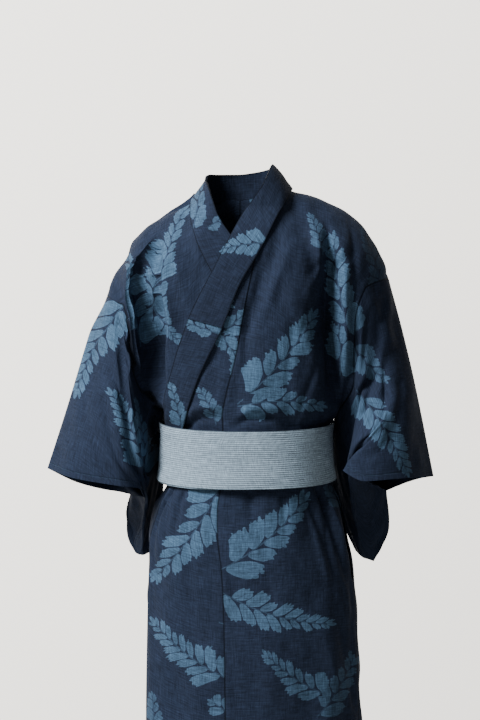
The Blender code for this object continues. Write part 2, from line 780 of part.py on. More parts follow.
def close_seams(sheets):
    """Pieces that share seam points get one normal there, and draw back from the seam."""
    found = {}
    for number, sheet in enumerate(sheets):
        for index in sheet.used():
            key = tuple(np.round(sheet.points[index], 6))
            found.setdefault(key, []).append((number, index))
    for number, sheet in enumerate(sheets):
        middles = sheet.points[sheet.quads].mean(axis=1)
        total = np.zeros_like(sheet.points)
        for corner in range(4):
            np.add.at(total, sheet.quads[:, corner], middles - sheet.points[sheet.quads[:, corner]])
        sheet.inward = total / np.maximum(np.linalg.norm(total, axis=1, keepdims=True), 1e-12)
    for places in found.values():
        if len({number for number, _ in places}) < 2:
            continue
        normal = sum(sheets[number].normals[index] for number, index in places)
        normal = normal / np.linalg.norm(normal)
        for number, index in places:
            sheet = sheets[number]
            sheet.normals[index] = normal
            sheet.points[index] += sheet.inward[index] * SEAM_GAP


def build_wall(name, sheet, material):
    """A closed solid between the two faces of a sheet."""
    used = sheet.used()
    number = np.full(len(sheet.points), -1)
    number[used] = np.arange(len(used))
    quads = number[sheet.quads]
    outer = (sheet.points + sheet.normals * sheet.outer[:, None])[used]
    inner = (sheet.points + sheet.normals * (sheet.outer - sheet.wall)[:, None])[used]
    triangles = np.concatenate([quads[:, [0, 1, 2]], quads[:, [0, 2, 3]]])
    faces = [tuple(t) for t in triangles] + [tuple(t[::-1] + len(used)) for t in triangles]
    sides = {}
    for quad in quads:
        for start, end in zip(quad, np.roll(quad, -1)):
            sides[start, end] = True
    for start, end in sides:
        if (end, start) not in sides:
            faces.append((end, start, start + len(used)))
            faces.append((end, start + len(used), end + len(used)))
    mesh = bpy.data.meshes.new(name)
    points = [tuple(point) for point in np.vstack([outer, inner])]
    mesh.from_pydata(points, [], [tuple(int(i) for i in face) for face in faces])
    mesh.validate()
    mesh.shade_smooth()
    mesh.set_sharp_from_angle(angle=math.radians(50))
    mesh.materials.append(material)
    built = bpy.data.objects.new(name, mesh)
    bpy.context.collection.objects.link(built)
    return built


def cloth_material(name, colour, roughness):
    material = bpy.data.materials.new(name)
    material.use_nodes = True
    shader = material.node_tree.nodes["Principled BSDF"]
    shader.inputs["Base Color"].default_value = colour
    shader.inputs["Roughness"].default_value = roughness
    shader.inputs["Metallic"].default_value = 0
    material.diffuse_color = colour
    return material


def right_side_lift(points, face):
    """The right side lies inside the left one, and comes out to meet it at centre back."""
    if face < 0:
        return np.full(len(points), -UNDER)
    return -UNDER * smooth(0, UNDER_BLEND, np.abs(points[:, 0] - form_at(points[:, 2])[0]))


def collar_sheet():
    """The collar band, from its left end over the neck to its right end, seam edge first."""
    across = np.linspace(0, 1, COLLAR_COLUMNS)[None, :, None]
    count = len(COLLAR_SEAMS[1]) - 1
    places = np.linspace(0, count, 3 * count + 1)
    fronts = {}
    for side in (1, -1):
        seam = spline(np.arange(count + 1), COLLAR_SEAMS[side], places)[:, None]
        edge = spline(np.arange(count + 1), COLLAR_EDGES[side], places)[:, None]
        flat = seam + (edge - seam) * across
        y = body_y(flat[..., 0], flat[..., 1], -1)
        fronts[side] = np.stack([flat[..., 0], y, flat[..., 1]], -1)
    halves = [
        along_line([(x, 0, z) for x, z in NECK_SEAMS[side]], NECK_ROWS // 2) for side in (1, -1)
    ]
    seam = np.vstack([halves[0], halves[1][-2::-1]])
    seam[:, 1] = body_y(seam[:, 0], seam[:, 2], 1)
    edge = along_line(NECK_EDGE, NECK_ROWS)
    neck = seam[:, None] + (edge - seam)[:, None] * across
    band = np.concatenate([fronts[1][::-1], neck[1:-1], fronts[-1]])
    under = np.concatenate([
        np.zeros(len(places)),
        -UNDER * smooth(0, UNDER_BLEND, FORM[0][1] - seam[1:-1, 0]),
        np.full(len(places), -UNDER),
    ])
    place = np.concatenate([places[::-1], np.zeros(len(neck) - 2), places])
    return band, under, place


def build_collar(material):
    band, under, place = collar_sheet()
    collar = Sheet(band)
    lift = np.repeat(under, COLLAR_COLUMNS)
    collar.wall = COLLAR_WALL
    collar.outer = lift + COLLAR_LIFT + COLLAR_WALL
    build_wall("collar", collar, material)
    kept = place <= COVER_STATIONS
    cover = Sheet(band[kept])
    cover.normals = collar.normals.reshape(band.shape)[kept].reshape(-1, 3)
    cover.wall = COVER_WALL
    cover.outer = collar.outer[np.repeat(kept, COLLAR_COLUMNS)] + COVER_LIFT + COVER_WALL
    build_wall("collar_cover", cover, material)


def belt_point(turn, up):
    """A point on the body under the obi: turn from 0 behind over 1 in front to 2, up from
    -0.5 at the lower edge to 0.5 at the upper one."""
    side, share = (1, turn) if turn <= 1 else (-1, 2 - turn)
    point = ring(OBI_Z, side, np.array([share]))[0]
    for _ in range(3):
        z = OBI_Z + OBI_TILT * point[1] + up * OBI_HEIGHT
        point = ring(z, side, np.array([share]))[0]
    return point


def build_obi(material):
    turns = np.arange(OBI_COLUMNS) / OBI_COLUMNS * 2
    ups = np.linspace(0.5, -0.5, OBI_ROWS)
    for name, lift in OBI_LIFTS.items():
        rows = np.array([[belt_point(turn, up) for turn in turns] for up in ups])
        if name == "obi_inner_wrap":
            rows[..., 2] -= OBI_INNER_DROP * smooth(0.05, -0.12, rows[..., 0])
        belt = Sheet(rows, loop=True)
        flatten(belt)
        belt.wall = OBI_WALL
        belt.outer += lift + OBI_WALL
        build_wall(name, belt, material)


def flatten(sheet):
    """Turn the sheet's normals level, so that its wall stands upright."""
    sheet.normals[:, 2] = 0
    sheet.normals /= np.linalg.norm(sheet.normals, axis=1, keepdims=True)


def build_knot(material):
    """The tied ends: flat pieces that lie one on another on the back of the obi."""
    for name, (x, z, half_width, half_length, degrees, root, tip) in KNOT_PIECES.items():
        lean = math.radians(degrees)
        across, up = np.meshgrid(np.linspace(-1, 1, KNOT_COLUMNS), np.linspace(1, -1, KNOT_ROWS))
        s = across * half_width
        t = up * half_length
        px = x + s * math.cos(lean) - t * math.sin(lean)
        pz = z + s * math.sin(lean) + t * math.cos(lean)
        piece = Sheet(np.stack([px, body_back(px, KNOT_Z), pz], -1))
        flatten(piece)
        piece.wall = KNOT_WALL
        piece.outer = (root + (tip - root) * (up + 1) / 2).reshape(-1) + KNOT_WALL
        build_wall(name, piece, material)


def body_back(x, z):
    """Depth of the back of the body at x, at one height."""
    centre, half, _, back, square = form_at(z)
    share = np.clip(np.abs(x - centre) / half, 0, 1)
    return back * (1 - share**square) ** (1 / square)


def edge_welds(rows, columns):
    """The sewn-up stretches at both ends of a sleeve: each front point and its back twin are one."""
    pairs = []
    for row in (0, rows - 1):
        for column in range(ARMHOLE_ROW, columns // 2):
            pairs.append((row * columns + column, row * columns + columns - column))
    return pairs


def sleeve_sheet(side, front, back):
    tube, turns, stages = sleeve_tube(side, front, back)
    rows, columns = tube.shape[:2]
    centres = tube.mean(axis=1, keepdims=True)
    flat_turn = np.repeat(turns[None], rows, 0)
    flat_stage = np.repeat(stages[:, None], columns, 1)
    inward = centres - tube
    inward /= np.linalg.norm(inward, axis=2, keepdims=True)
    depth = trough_depth(flat_stage, flat_turn, SLEEVE_FOLDS[side])
    tube = tube + inward * (depth * smooth(0, FOLD_START, flat_stage))[..., None]
    inside = np.repeat(((centres[:-1] + centres[1:]) / 2), columns, 1).reshape(-1, 3)
    sheet = Sheet(tube, loop=True, welds=edge_welds(rows, columns), inside=inside)
    if side < 0:
        sheet.outer = -UNDER * (1 - smooth(0, SLEEVE_STAGES[1], flat_stage)).reshape(-1)
    return sheet


def build_panels(material):
    sheets = {}
    for side, word in ((1, "left"), (-1, "right")):
        front, back = front_panel(side), back_panel(side)
        sheets["front_" + word] = Sheet(front)
        sheets["back_" + word] = Sheet(back)
        sheets["overlap_" + word] = Sheet(overlap_panel(side))
        edges = front[: ARMHOLE_ROW + 1, -1], back[: ARMHOLE_ROW + 1, -1]
        sheets["sleeve_" + word] = sleeve_sheet(side, *edges)
    sheets["front_right"].outer = right_side_lift(sheets["front_right"].points, -1)
    sheets["overlap_right"].outer = right_side_lift(sheets["overlap_right"].points, -1)
    sheets["back_right"].outer = right_side_lift(sheets["back_right"].points, 1)
    close_seams(list(sheets.values()))
    for name, sheet in sheets.items():
        build_wall(name, sheet, material)


def main():
    for old in list(bpy.data.objects):
        bpy.data.objects.remove(old, do_unlink=True)
    cotton = cloth_material("navy_cotton", NAVY, 0.85)
    collar_cotton = cloth_material("collar_cotton", NAVY_DARK, 0.85)
    weave = cloth_material("obi_weave", GREY_BLUE, 0.75)
    build_panels(cotton)
    build_collar(collar_cotton)
    build_obi(weave)
    build_knot(weave)


main()
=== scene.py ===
"""The looks of a cotton yukata and its flat obi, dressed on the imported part.

Metres, +Z up, +X the wearer's left, -Y the front; the origin is the base of the neck.
A side is 1 for the wearer's left and -1 for the right; a face is -1 in front and 1 behind.
The cloth is worked out again from the part's own sections on a finer grid, then creased.
"""

import math

import bpy
import numpy as np
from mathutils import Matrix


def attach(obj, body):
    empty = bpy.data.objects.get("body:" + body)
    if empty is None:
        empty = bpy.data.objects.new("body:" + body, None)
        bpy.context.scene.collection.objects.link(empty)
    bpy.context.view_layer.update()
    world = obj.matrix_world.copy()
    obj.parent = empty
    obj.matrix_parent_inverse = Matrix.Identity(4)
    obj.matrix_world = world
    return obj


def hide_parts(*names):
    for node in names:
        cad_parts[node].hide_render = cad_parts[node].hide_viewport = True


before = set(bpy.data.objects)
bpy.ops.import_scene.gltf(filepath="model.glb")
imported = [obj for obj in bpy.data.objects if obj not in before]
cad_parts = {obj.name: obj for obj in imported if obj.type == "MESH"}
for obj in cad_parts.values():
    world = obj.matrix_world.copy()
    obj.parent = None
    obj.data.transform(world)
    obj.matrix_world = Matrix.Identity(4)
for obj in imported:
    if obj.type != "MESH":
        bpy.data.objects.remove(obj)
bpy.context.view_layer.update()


def metres(*rows):
    """A table given in mm."""
    return np.array(rows, float) / 1000


# Cloth
COTTON = 0.0010  # wall of a cotton panel
SEAM_GAP = -0.0003  # below zero: two sewn pieces pass each other by this much at their seam
SEAM_DIP = 0.0006  # how far sewn edges sink at their seam
UNDER = 0.0100  # how far the right side lies inside the left side, which wraps over it
UNDER_BLEND = 0.08  # width over which it comes out again behind
TUCK = 0.008  # panel edge hidden below the collar band
SHARP = 60  # degrees: the cloth is shaded smooth but for edges sharper than this
STITCH = {"hem": 0.018, "cuff": 0.010, "collar": 1.0}  # from the edge; the collar's are off the cloth

# Lengths along the body
ROBE_LENGTH = 1.34  # origin to hem
ARCH = 0.10  # height over which the cloth turns from the shoulder line to the chest
RIDGE_Y = 0.012  # the shoulder line lies a little behind the origin
MIDDLE_X = 0.01  # a line up through the robe, used to tell outside from inside
UPRIGHT_X = 0.10  # from the middle: the line from which the body's cloth is measured sideways
ARMHOLE_Z = -0.368  # lower end of the armholes
SHOULDER_DEPTH = 0.08  # keeps the fronts and the back apart at the sleeves
SHOULDER_Z = -0.30  # in full from here up
TROUGH_START = 0.03  # height over which the troughs set in, above the armholes' lower ends

# Collar band and its cover
COLLAR_LIFT = 0.0031  # clear of the panel below
COLLAR_WALL = 0.0020  # from there to its outer face
BAND_WALL = 0.0016  # the band itself
COLLAR_COLUMNS = 17
STATION_ROWS = 18  # of the band between two stations
NECK_ROWS = 80  # of the band behind the neck
COVER_LIFT = 0.0004
COVER_WALL = 0.0012
COVER_STATIONS = 5.0  # the cover reaches down to this station on both sides

# Obi: a flat belt, wound twice and tied behind
OBI_HEIGHT = 0.095
OBI_Z = -0.4285
OBI_TILT = 0.10  # lower in front
OBI_WALL = 0.0015
OBI_LIFTS = {"obi_inner_wrap": 0.0079, "obi_outer_wrap": 0.0104}
OBI_WAVES = {"obi_inner_wrap": 0.3, "obi_outer_wrap": 1.0}  # share of the unevenness
OBI_COLUMNS = 320
OBI_ROWS = 18
OBI_FORM_ROWS = 5  # rows at which the form below the obi is worked out
OBI_INNER_DROP = 0.0025  # the inner winding shows below the outer one on the right side

# Outline of the body at each height: centre, half width, reach to the front and back,
# and how square the outline is (2 is an ellipse)
FORM = np.array((
    # height, centre, half, front, back, square
    (-0.02, 0.004, 0.235, 0.085, 0.085, 2.60), (-0.10, 0.005, 0.245, 0.118, 0.110, 2.50),
    (-0.20, 0.006, 0.225, 0.130, 0.118, 2.40), (-0.27, 0.008, 0.205, 0.129, 0.112, 2.30),
    (-0.33, 0.010, 0.176, 0.128, 0.108, 2.25), (-0.368, 0.012, 0.152, 0.125, 0.105, 2.20),
    (-0.388, 0.0125, 0.136, 0.121, 0.102, 2.20), (-0.44, 0.012, 0.138, 0.119, 0.100, 2.20),
    (-0.48, 0.011, 0.144, 0.121, 0.104, 2.20), (-0.52, 0.008, 0.163, 0.124, 0.113, 2.20),
    (-0.57, 0.009, 0.175, 0.127, 0.124, 2.20), (-0.62, 0.0145, 0.179, 0.129, 0.129, 2.20),
    (-0.70, 0.0185, 0.183, 0.129, 0.131, 2.25), (-0.90, 0.0205, 0.187, 0.126, 0.126, 2.30),
    (-1.10, 0.021, 0.186, 0.122, 0.121, 2.30), (-1.34, 0.020, 0.178, 0.118, 0.118, 2.30),
))

# Height of the shoulder line, from the right sleeve over the neck to the left sleeve, in mm
RIDGE = metres(
    # x, z
    (-239, -162), (-228.8, -134), (-201.2, -85.8), (-192.6, -63.4), (-168.6, -39.4), (-126.4, -14.6),
    (-87.6, 4.5), (-65, 35), (-50, 56), (-30, 78), (0, 95), (30, 80), (50, 62), (65, 45), (87.2, 16.5),
    (116, 9.7), (150, -2.2), (191, -24.4), (218, -53.1), (239, -95.3), (256.3, -134),
)

# Where the sleeves are sewn on, on each face, from the shoulder line down, in mm
SLEEVE_SEAMS = {
    # side (1 is the wearer's left), face (-1 is the front): x, z
    (1, -1): metres((256.3, -134), (210.8, -153.6), (195.6, -207.6), (192.2, -315.5), (164, -368)),
    (1, 1): metres((256.3, -134), (215, -160), (196, -220), (186, -315), (164, -368)),
    (-1, -1): metres((-239, -162), (-205, -182), (-188, -233), (-172, -300), (-140, -368)),
    (-1, 1): metres((-239, -162), (-210, -185), (-193, -235), (-177, -300), (-140, -368)),
}

# Where the collar band is sewn to the fronts: left side over right side, in mm
COLLAR_SEAMS = {
    # side: x, z
    1: metres(
        (87.2, 16.5), (67.1, -24.3), (39.9, -80.4), (23.2, -110.5), (0.5, -149.7), (-28.9, -222.2),
        (-68.3, -306.4), (-88, -368), (-99, -420), (-108, -470),
    ),
    -1: metres(
        (-87.6, 4.5), (-86.4, -30), (-75.7, -69.1), (-48.9, -126.3), (-20, -170), (30, -250), (75, -330),
        (90, -368), (100, -420), (108, -470),
    ),
}

# The band's free edge beside each of those stations, in mm
COLLAR_EDGES = {
    # side: x, z
    1: metres(
        (51.6, 57.3), (37.1, 19), (7, -27.8), (-14.3, -66.5), (-43, -123), (-84.7, -206.7),
        (-113.5, -296.6), (-125, -350), (-125, -415), (-128, -465),
    ),
    -1: metres(
        (-63.4, 36.8), (-36, -32.6), (-14.3, -66.5), (10, -105), (34, -145), (78, -215), (108, -290),
        (128, -350), (133, -415), (136, -465),
    ),
}

# The neck seam behind, from each shoulder to the nape, in mm
NECK_SEAMS = {
    # side: x, z
    1: metres((87.2, 16.5), (83, 13.5), (70, 8), (45, 4), (20, 2), (0, 1)),
    -1: metres((-87.6, 4.5), (-83, 4), (-70, 3), (-45, 2), (-20, 1.5), (0, 1)),
}

# The band's upper edge round the neck, from the left shoulder to the right one, in mm
NECK_EDGE = metres(
    # x, y, z
    (51.6, 12, 57.3), (56, 32, 60), (46, 54, 57), (25, 66, 53), (-4, 69, 50), (-31, 65, 50),
    (-52, 52, 50), (-64, 32, 44), (-63.4, 12, 36.8),
)

# Where the overlap panel joins the front: x down to the armhole in mm, then the girth's share.
# The shares of the girth are 0 behind, 0.5 at that side, 1 in front and 1.5 at the far side.
OVERLAP_SEAMS = {
    # side: x, z
    1: metres((26, -100), (9.9, -179), (-6.6, -267), (-23.1, -333), (-30, -368)),
    -1: metres((-34, -150), (-6, -210), (24, -280), (44, -330), (54, -368)),
}
OVERLAP_GIRTH = np.array((
    # z, share
    (-0.368, 1.100), (-0.49, 1.100), (-0.60, 1.093), (-0.77, 1.089), (-1.34, 1.085),
))
FREE_EDGE = {
    # side: z, share
    1: np.array(((-0.49, 1.345), (-0.53, 1.355), (-0.60, 1.390), (-0.70, 1.410), (-1.34, 1.420))),
    -1: np.array(((-0.49, 1.330), (-0.60, 1.350), (-0.70, 1.355), (-1.34, 1.360))),
}
# The side seams: z, share
SIDE_GIRTH = np.array(((-0.368, 0.500), (-0.50, 0.545), (-0.62, 0.575), (-1.34, 0.580)))

# The pocket mouth in the left side seam
POCKET_TOP = -0.500
POCKET_END = -0.650
POCKET_HALF_MOUTH = 0.020  # share of the girth that each edge draws back

# The fine grid. The upper body's rows are steps down from the shoulder line to the armhole's
# end, the skirt's are heights. Columns are shares of a panel's width, closer by the armhole.
ARCH_ROWS = 6
CHEST_ROWS = 8
ARMHOLE_ROW = ARCH_ROWS + CHEST_ROWS
UPPER = np.concatenate([
    np.linspace(0, ARCH_ROWS, 29),
    np.linspace(ARCH_ROWS, ARMHOLE_ROW, 77)[1:],
])
LOWER = np.concatenate([
    np.linspace(-0.388, -0.50, 27),
    np.linspace(-0.50, -0.68, 37)[1:],
    np.linspace(-0.68, -ROBE_LENGTH, 100)[1:],
])
JOIN_ROWS = 4  # between the two
PANEL_COLUMNS = (0, 0.13, 0.26, 0.39, 0.50, 0.60, 0.69, 0.77, 0.84, 0.90, 0.95, 1)
ACROSS = np.interp(np.linspace(0, len(PANEL_COLUMNS) - 1, 84), range(len(PANEL_COLUMNS)), PANEL_COLUMNS)
OVERLAP_ACROSS = np.linspace(0, 1, 42)
SMALLEST_OVERLAP = 0.0008  # the overlap panel begins where it is wider than this
# How finely a curve is sampled to read lengths and crossings off it
RING_SAMPLES = 129
ROW_SAMPLES = 241
SEAM_SAMPLES = 400
GIRTH_SAMPLES = 801

# Where to look along a row for each kind of seam: x of a left panel, from the middle outwards
COLLAR_SPAN = (-0.13, 0.22)
OVERLAP_SPAN = (-0.06, 0.22)
NECK_SPAN = (0.0, 0.15)
SLEEVE_SPAN_START = 0.10

# Troughs in the cloth: deepest line, depth and half width along it, in mm
TROUGHS = {
    # face: paths of x, z, depth, width
    -1: (
        # right armpit, from the shoulder to the top of the obi
        metres(
            (-121, -35, 4, 10), (-138, -73, 10, 11), (-155, -100, 20, 12), (-168, -130, 35, 13),
            (-165.5, -170, 48, 14), (-155, -200, 55, 16), (-151, -258, 58, 16), (-148, -300, 45, 15),
            (-143, -340, 18, 13),
        ),
        # left armpit
        metres(
            (145.5, -55, 6, 10), (149, -89, 20, 11), (152.5, -115, 35, 13), (148.5, -150, 45, 17),
            (144.5, -190, 54, 20), (144, -225, 57, 20), (150, -258, 56, 16), (156, -300, 45, 14),
            (160, -340, 18, 12),
        ),
        # from the left shoulder down beside the collar
        metres(
            (74, -50, 3, 12), (52, -110, 6, 14), (28, -170, 6, 14), (12, -230, 4, 12),
        ),
        # from the left shoulder towards the armpit
        metres(
            (94, -20, 3, 12), (108, -75, 7, 14), (122, -118, 8, 15), (136, -150, 6, 15),
        ),
    ),
    1: (
        # behind the right arm
        metres(
            (-130, -60, 4, 14), (-160, -120, 22, 18), (-163, -200, 36, 20), (-156, -280, 34, 18),
            (-148, -340, 12, 14),
        ),
        # behind the left arm
        metres(
            (140, -50, 4, 14), (166, -110, 22, 18), (168, -190, 36, 20), (164, -270, 34, 18),
            (160, -340, 12, 14),
        ),
    ),
}

FOLD_GROWTH = 0.25  # length over which a fold reaches its depth
# Shallow lengthwise folds of the skirt: where on the girth, how deep and how wide, and from
# which height. The girth runs from 0 behind over 1 in front to 2, round by the left side.
SKIRT_FOLDS = (
    # girth, depth, width, top
    (0.10, 0.006, 0.045, -0.60), (0.30, 0.007, 0.040, -0.55), (0.66, 0.006, 0.040, -0.52),
    (0.80, 0.004, 0.050, -0.62), (1.24, 0.003, 0.050, -0.66), (1.66, 0.006, 0.045, -0.58),
    (1.86, 0.007, 0.040, -0.55),
)

# Sleeves: points round the tube at four stages from the armhole (0) to the cuff (1), in mm.
# The columns run from the top fold down the front to the lower fold, then up the back.
SLEEVE_TURNS = (0, 0.2, 0.4, 0.5, 0.6, 0.8, 1.0, 1.2, 1.4, 1.6, 1.8)
SLEEVE_STAGES = np.array((0, 0.30, 0.65, 1))
SLEEVES = {
    # side: x, y, z
    -1: {
        "inner_edge": metres((-129, 50, -371), (-132.5, 54, -430), (-135, 60, -510), (-158, 62, -612)),
        "upper": metres(
            (-262, 10, -235), (-222, -62, -290), (-180, -84, -372), (-162, -66, -418), (-157, -26, -460),
            (-162, 16, -540), (-170, 58, -617), (-190, 84, -545), (-182, 90, -462), (-202, 95, -380),
            (-236, 68, -300),
        ),
        "lower": metres(
            (-296, 4, -350), (-252, -68, -385), (-194, -90, -440), (-168, -66, -470), (-159, -22, -500),
            (-167, 28, -562), (-180, 68, -613), (-198, 88, -562), (-194, 88, -497), (-222, 92, -445),
            (-264, 62, -392),
        ),
        "cuff": metres(
            (-330.2, -10, -460.5), (-283, -66, -473), (-205, -90, -485), (-170, -60, -492),
            (-163, -6, -512), (-226, 82, -506), (-283, 52, -490),
        ),
        "outer_edge": metres((-163, -6, -512), (-171, 40, -556), (-190, 78, -601)),
    },
    1: {
        "inner_edge": metres((163, 4, -368), (157.8, 36, -430), (162, 52, -510), (201, 45, -607)),
        "upper": metres(
            (278.5, 12, -215), (245, -60, -270), (206, -72, -352), (190, -60, -400), (184, -26, -450),
            (195, 8, -535), (210, 36, -616), (224, 62, -535), (216, 72, -450), (230, 90, -375),
            (258, 68, -290),
        ),
        "lower": metres(
            (305, 8, -330), (268, -82, -360), (212, -112, -400), (186, -92, -432), (190, -36, -478),
            (204, 14, -555), (224, 46, -623), (242, 74, -560), (234, 82, -492), (252, 90, -440),
            (284, 62, -385),
        ),
        "cuff": metres(
            (332.5, -5, -474.5), (272, -95, -472), (205, -120, -475), (171, -96, -459), (255.5, 45, -503),
            (286, 48, -491), (312, 30, -481),
        ),
        "outer_edge": metres((255.5, 45, -503), (262, 56, -566), (234, 50, -627)),
    },
}
SLEEVE_ROWS = 90
OPEN_TURN = 0.6  # at the ends of a sleeve the tube is open down to this turn, and sewn up below
EDGE_COLUMNS = 44  # of the sewn-up part
FOLD_START = 0.08  # the folds leave the first part of the sleeve alone, by the armhole seam
SOFT_TURN = 0.05  # turn over which the folds and creases fade at the sleeve's own folds
CUFF_CALM = 0.7  # share of the creases that is gone at the cuff
# Folds on the sleeves: stage along the sleeve, turn round it, depth in metres, width in turns
SLEEVE_FOLDS = {
    -1: (
        np.array(((0.18, 0.30, 0.006, 0.05), (0.42, 0.38, 0.012, 0.05), (0.62, 0.47, 0.010, 0.05))),
        np.array(((0.25, 1.60, 0.008, 0.06), (0.60, 1.66, 0.008, 0.06))),
    ),
    1: (
        np.array(((0.08, 0.16, 0.010, 0.05), (0.20, 0.26, 0.012, 0.06), (0.34, 0.36, 0.010, 0.06))),
        np.array(((0.25, 1.64, 0.008, 0.06), (0.60, 1.58, 0.008, 0.06))),
    ),
}

# The knot's flat ends, on the back of the obi: middle, half sizes, turn and lift
KNOT_PIECES = {
    # name: x, z, half width, half length, degrees from upright, lift at the root, at the tip
    "obi_knot": (0.010, -0.420, 0.030, 0.050, 8, 0.0180, 0.0180),
    "obi_tare": (0.042, -0.392, 0.0475, 0.068, -48, 0.0210, 0.0250),
    "obi_te": (-0.030, -0.385, 0.0235, 0.062, 52, 0.0270, 0.0330),
}
KNOT_WALL = 0.0024  # folded double
KNOT_Z = -0.4185  # the height at which the pieces take the shape of the back
KNOT_COLUMNS = 19
KNOT_ROWS = 25

# Small waves that keep the cloth from lying perfectly smooth: length, height
WAVES = ((0.16, 0.0012), (0.09, 0.0007), (0.05, 0.0004))
WAVES_A_LENGTH = 3
BODY_SEED, OVERLAP_SEED, SLEEVE_SEED = 5, 15, 25  # each with the side added
PRINT_SEED = 41
CALM_EDGE = 0.02  # they fade over this width at a panel's side edges
CALM_TURN = 0.14  # and over this turn at a sleeve's top fold

# Camera: level, 3 m in front; the photograph's frame is 480 by 720 pixels
CAMERA_Y = -3.0
CAMERA_Z = -0.275
FOCAL = 1744  # pixels
FRAME_W, FRAME_H = 480, 720
SENSOR = 36  # mm, along the frame's longer side
PHOTO_SCALE = 3.0 / FOCAL  # metres to a pixel, 3 m in front of the camera
FLOOR_Z = -1.42
FLOOR_REACH = 2.2

CREASE_STEPS = 6  # of a crease's curve, between two rows of its table
CREASE_EDGE = 1.6  # how a crease's depth dies out sideways: 2 would be a bell curve
CREASE_REACH = 3  # half widths from a crease within which it counts
WAIST_FADE = (-0.50, -0.42)  # z over which the creases of the upper body set in
SKIRT_FADE = (-0.47, -0.51)  # and those of the skirt
SHOULDER_FADE = 0.012  # below the shoulder line
SIDE_FADE = (0.008, -0.36, -0.33)  # from the side seam, and the z above which there is none

# Creases of the upper body, placed by pixels of the photograph's frame: depth and half width
# in mm along each; a negative depth is a ridge.
FRONT_CREASES = (
    # px, py, depth, width
    ((292, 238, 1, 9), (281, 268, -4, 10), (270, 296, -4, 10), (262, 318, -1, 9)),
    ((252, 296, 0, 7), (248, 325, 5, 7), (246, 352, 4, 7), (246, 376, 0, 7)),
    ((322, 205, 0, 5), (329, 240, 5, 5), (330, 280, 7, 6), (329, 330, 9, 8), (328, 372, 9, 8),
     (327, 408, 5, 8)),
    ((338, 232, 0, 9), (342, 270, -2, 9), (344, 320, -2, 9), (341, 370, -2, 8), (338, 405, 0, 7)),
    ((350, 215, 0, 4), (354, 250, 5, 5), (355, 300, 6, 5), (354, 345, 5, 5), (352, 375, 0, 5)),
    ((158, 226, 0, 5), (151, 254, 13, 5), (150, 284, 17, 5), (152, 306, 18, 5), (155, 328, 18, 6),
     (154, 352, 19, 7), (155, 380, 15, 7), (159, 402, 0, 6)),
    ((162, 322, 0, 7), (161, 350, -5, 7), (163, 376, -6, 7), (169, 398, -4, 7), (172, 414, 0, 7)),
    ((134, 250, 0, 7), (137, 272, -6, 8), (139, 298, -7, 8), (141, 320, -5, 7), (143, 345, -2, 7),
     (144, 366, 0, 6)),
    ((308, 200, 0, 9), (313, 225, -4, 9), (319, 250, -4, 9), (322, 268, 0, 9)),
    ((186, 432, 1, 5), (197, 419, 7, 6), (212, 417, 7, 6), (226, 424, 1, 5)),
    ((184, 420, 0, 6), (198, 408, -5, 7), (214, 407, -4, 7), (228, 414, 0, 6)),
    ((234, 428, 1, 5), (248, 419, 7, 6), (270, 419, 7, 6), (290, 428, 1, 5)),
    ((238, 418, 0, 6), (252, 408, -5, 7), (272, 408, -5, 7), (290, 417, 0, 6)),
    ((296, 426, 0, 5), (303, 402, 3, 5), (314, 376, 3, 6), (322, 350, 0, 6)),
    ((300, 300, 0, 8), (292, 340, 3, 8), (288, 380, 3, 8), (292, 412, 1, 7)),
    ((166, 250, 0, 8), (172, 285, 3, 8), (178, 320, 3, 8), (182, 350, 0, 8)),
    ((205, 262, 0, 7), (198, 290, 2, 8), (190, 322, 0, 8)),
    ((331, 286, 0, 6), (320, 300, 4, 6), (309, 318, 4, 6), (300, 340, 0, 6)),
    ((333, 250, 0, 6), (322, 262, 3, 6), (312, 272, 2, 6), (302, 278, 0, 6)),
)
SLEEVE_FRONT_CREASES = {
    # side: px, py, depth, width
    1: (
        ((343, 470, 2, 4), (349, 440, 8, 5), (354, 412, 11, 5), (360, 394, 10, 5), (371, 380, 7, 5),
         (384, 367, 0, 5)),
        ((352, 466, 0, 7), (359, 438, -3, 8), (366, 412, -5, 8), (375, 395, -4, 7), (387, 381, 0, 7)),
        ((388, 350, 0, 9), (386, 378, 4, 10), (388, 410, 4, 10), (394, 448, 2, 10)),
        ((372, 300, 0, 6), (368, 330, 4, 7), (364, 360, 3, 7), (360, 380, 0, 6)),
    ),
    -1: (
        ((100, 344, 0, 6), (111, 374, 6, 7), (123, 400, 8, 7), (136, 421, 6, 6), (145, 442, 1, 6)),
        ((97, 370, 0, 8), (108, 398, -4, 9), (122, 424, -5, 9), (134, 450, -2, 8)),
        ((130, 384, 0, 5), (137, 412, 6, 5), (142, 444, 7, 5), (146, 476, 4, 5)),
        ((116, 300, 0, 8), (118, 326, 2, 9), (121, 350, 0, 9)),
        ((82, 400, 0, 8), (90, 430, 3, 9), (102, 462, 2, 9), (110, 486, 0, 8)),
    ),
}
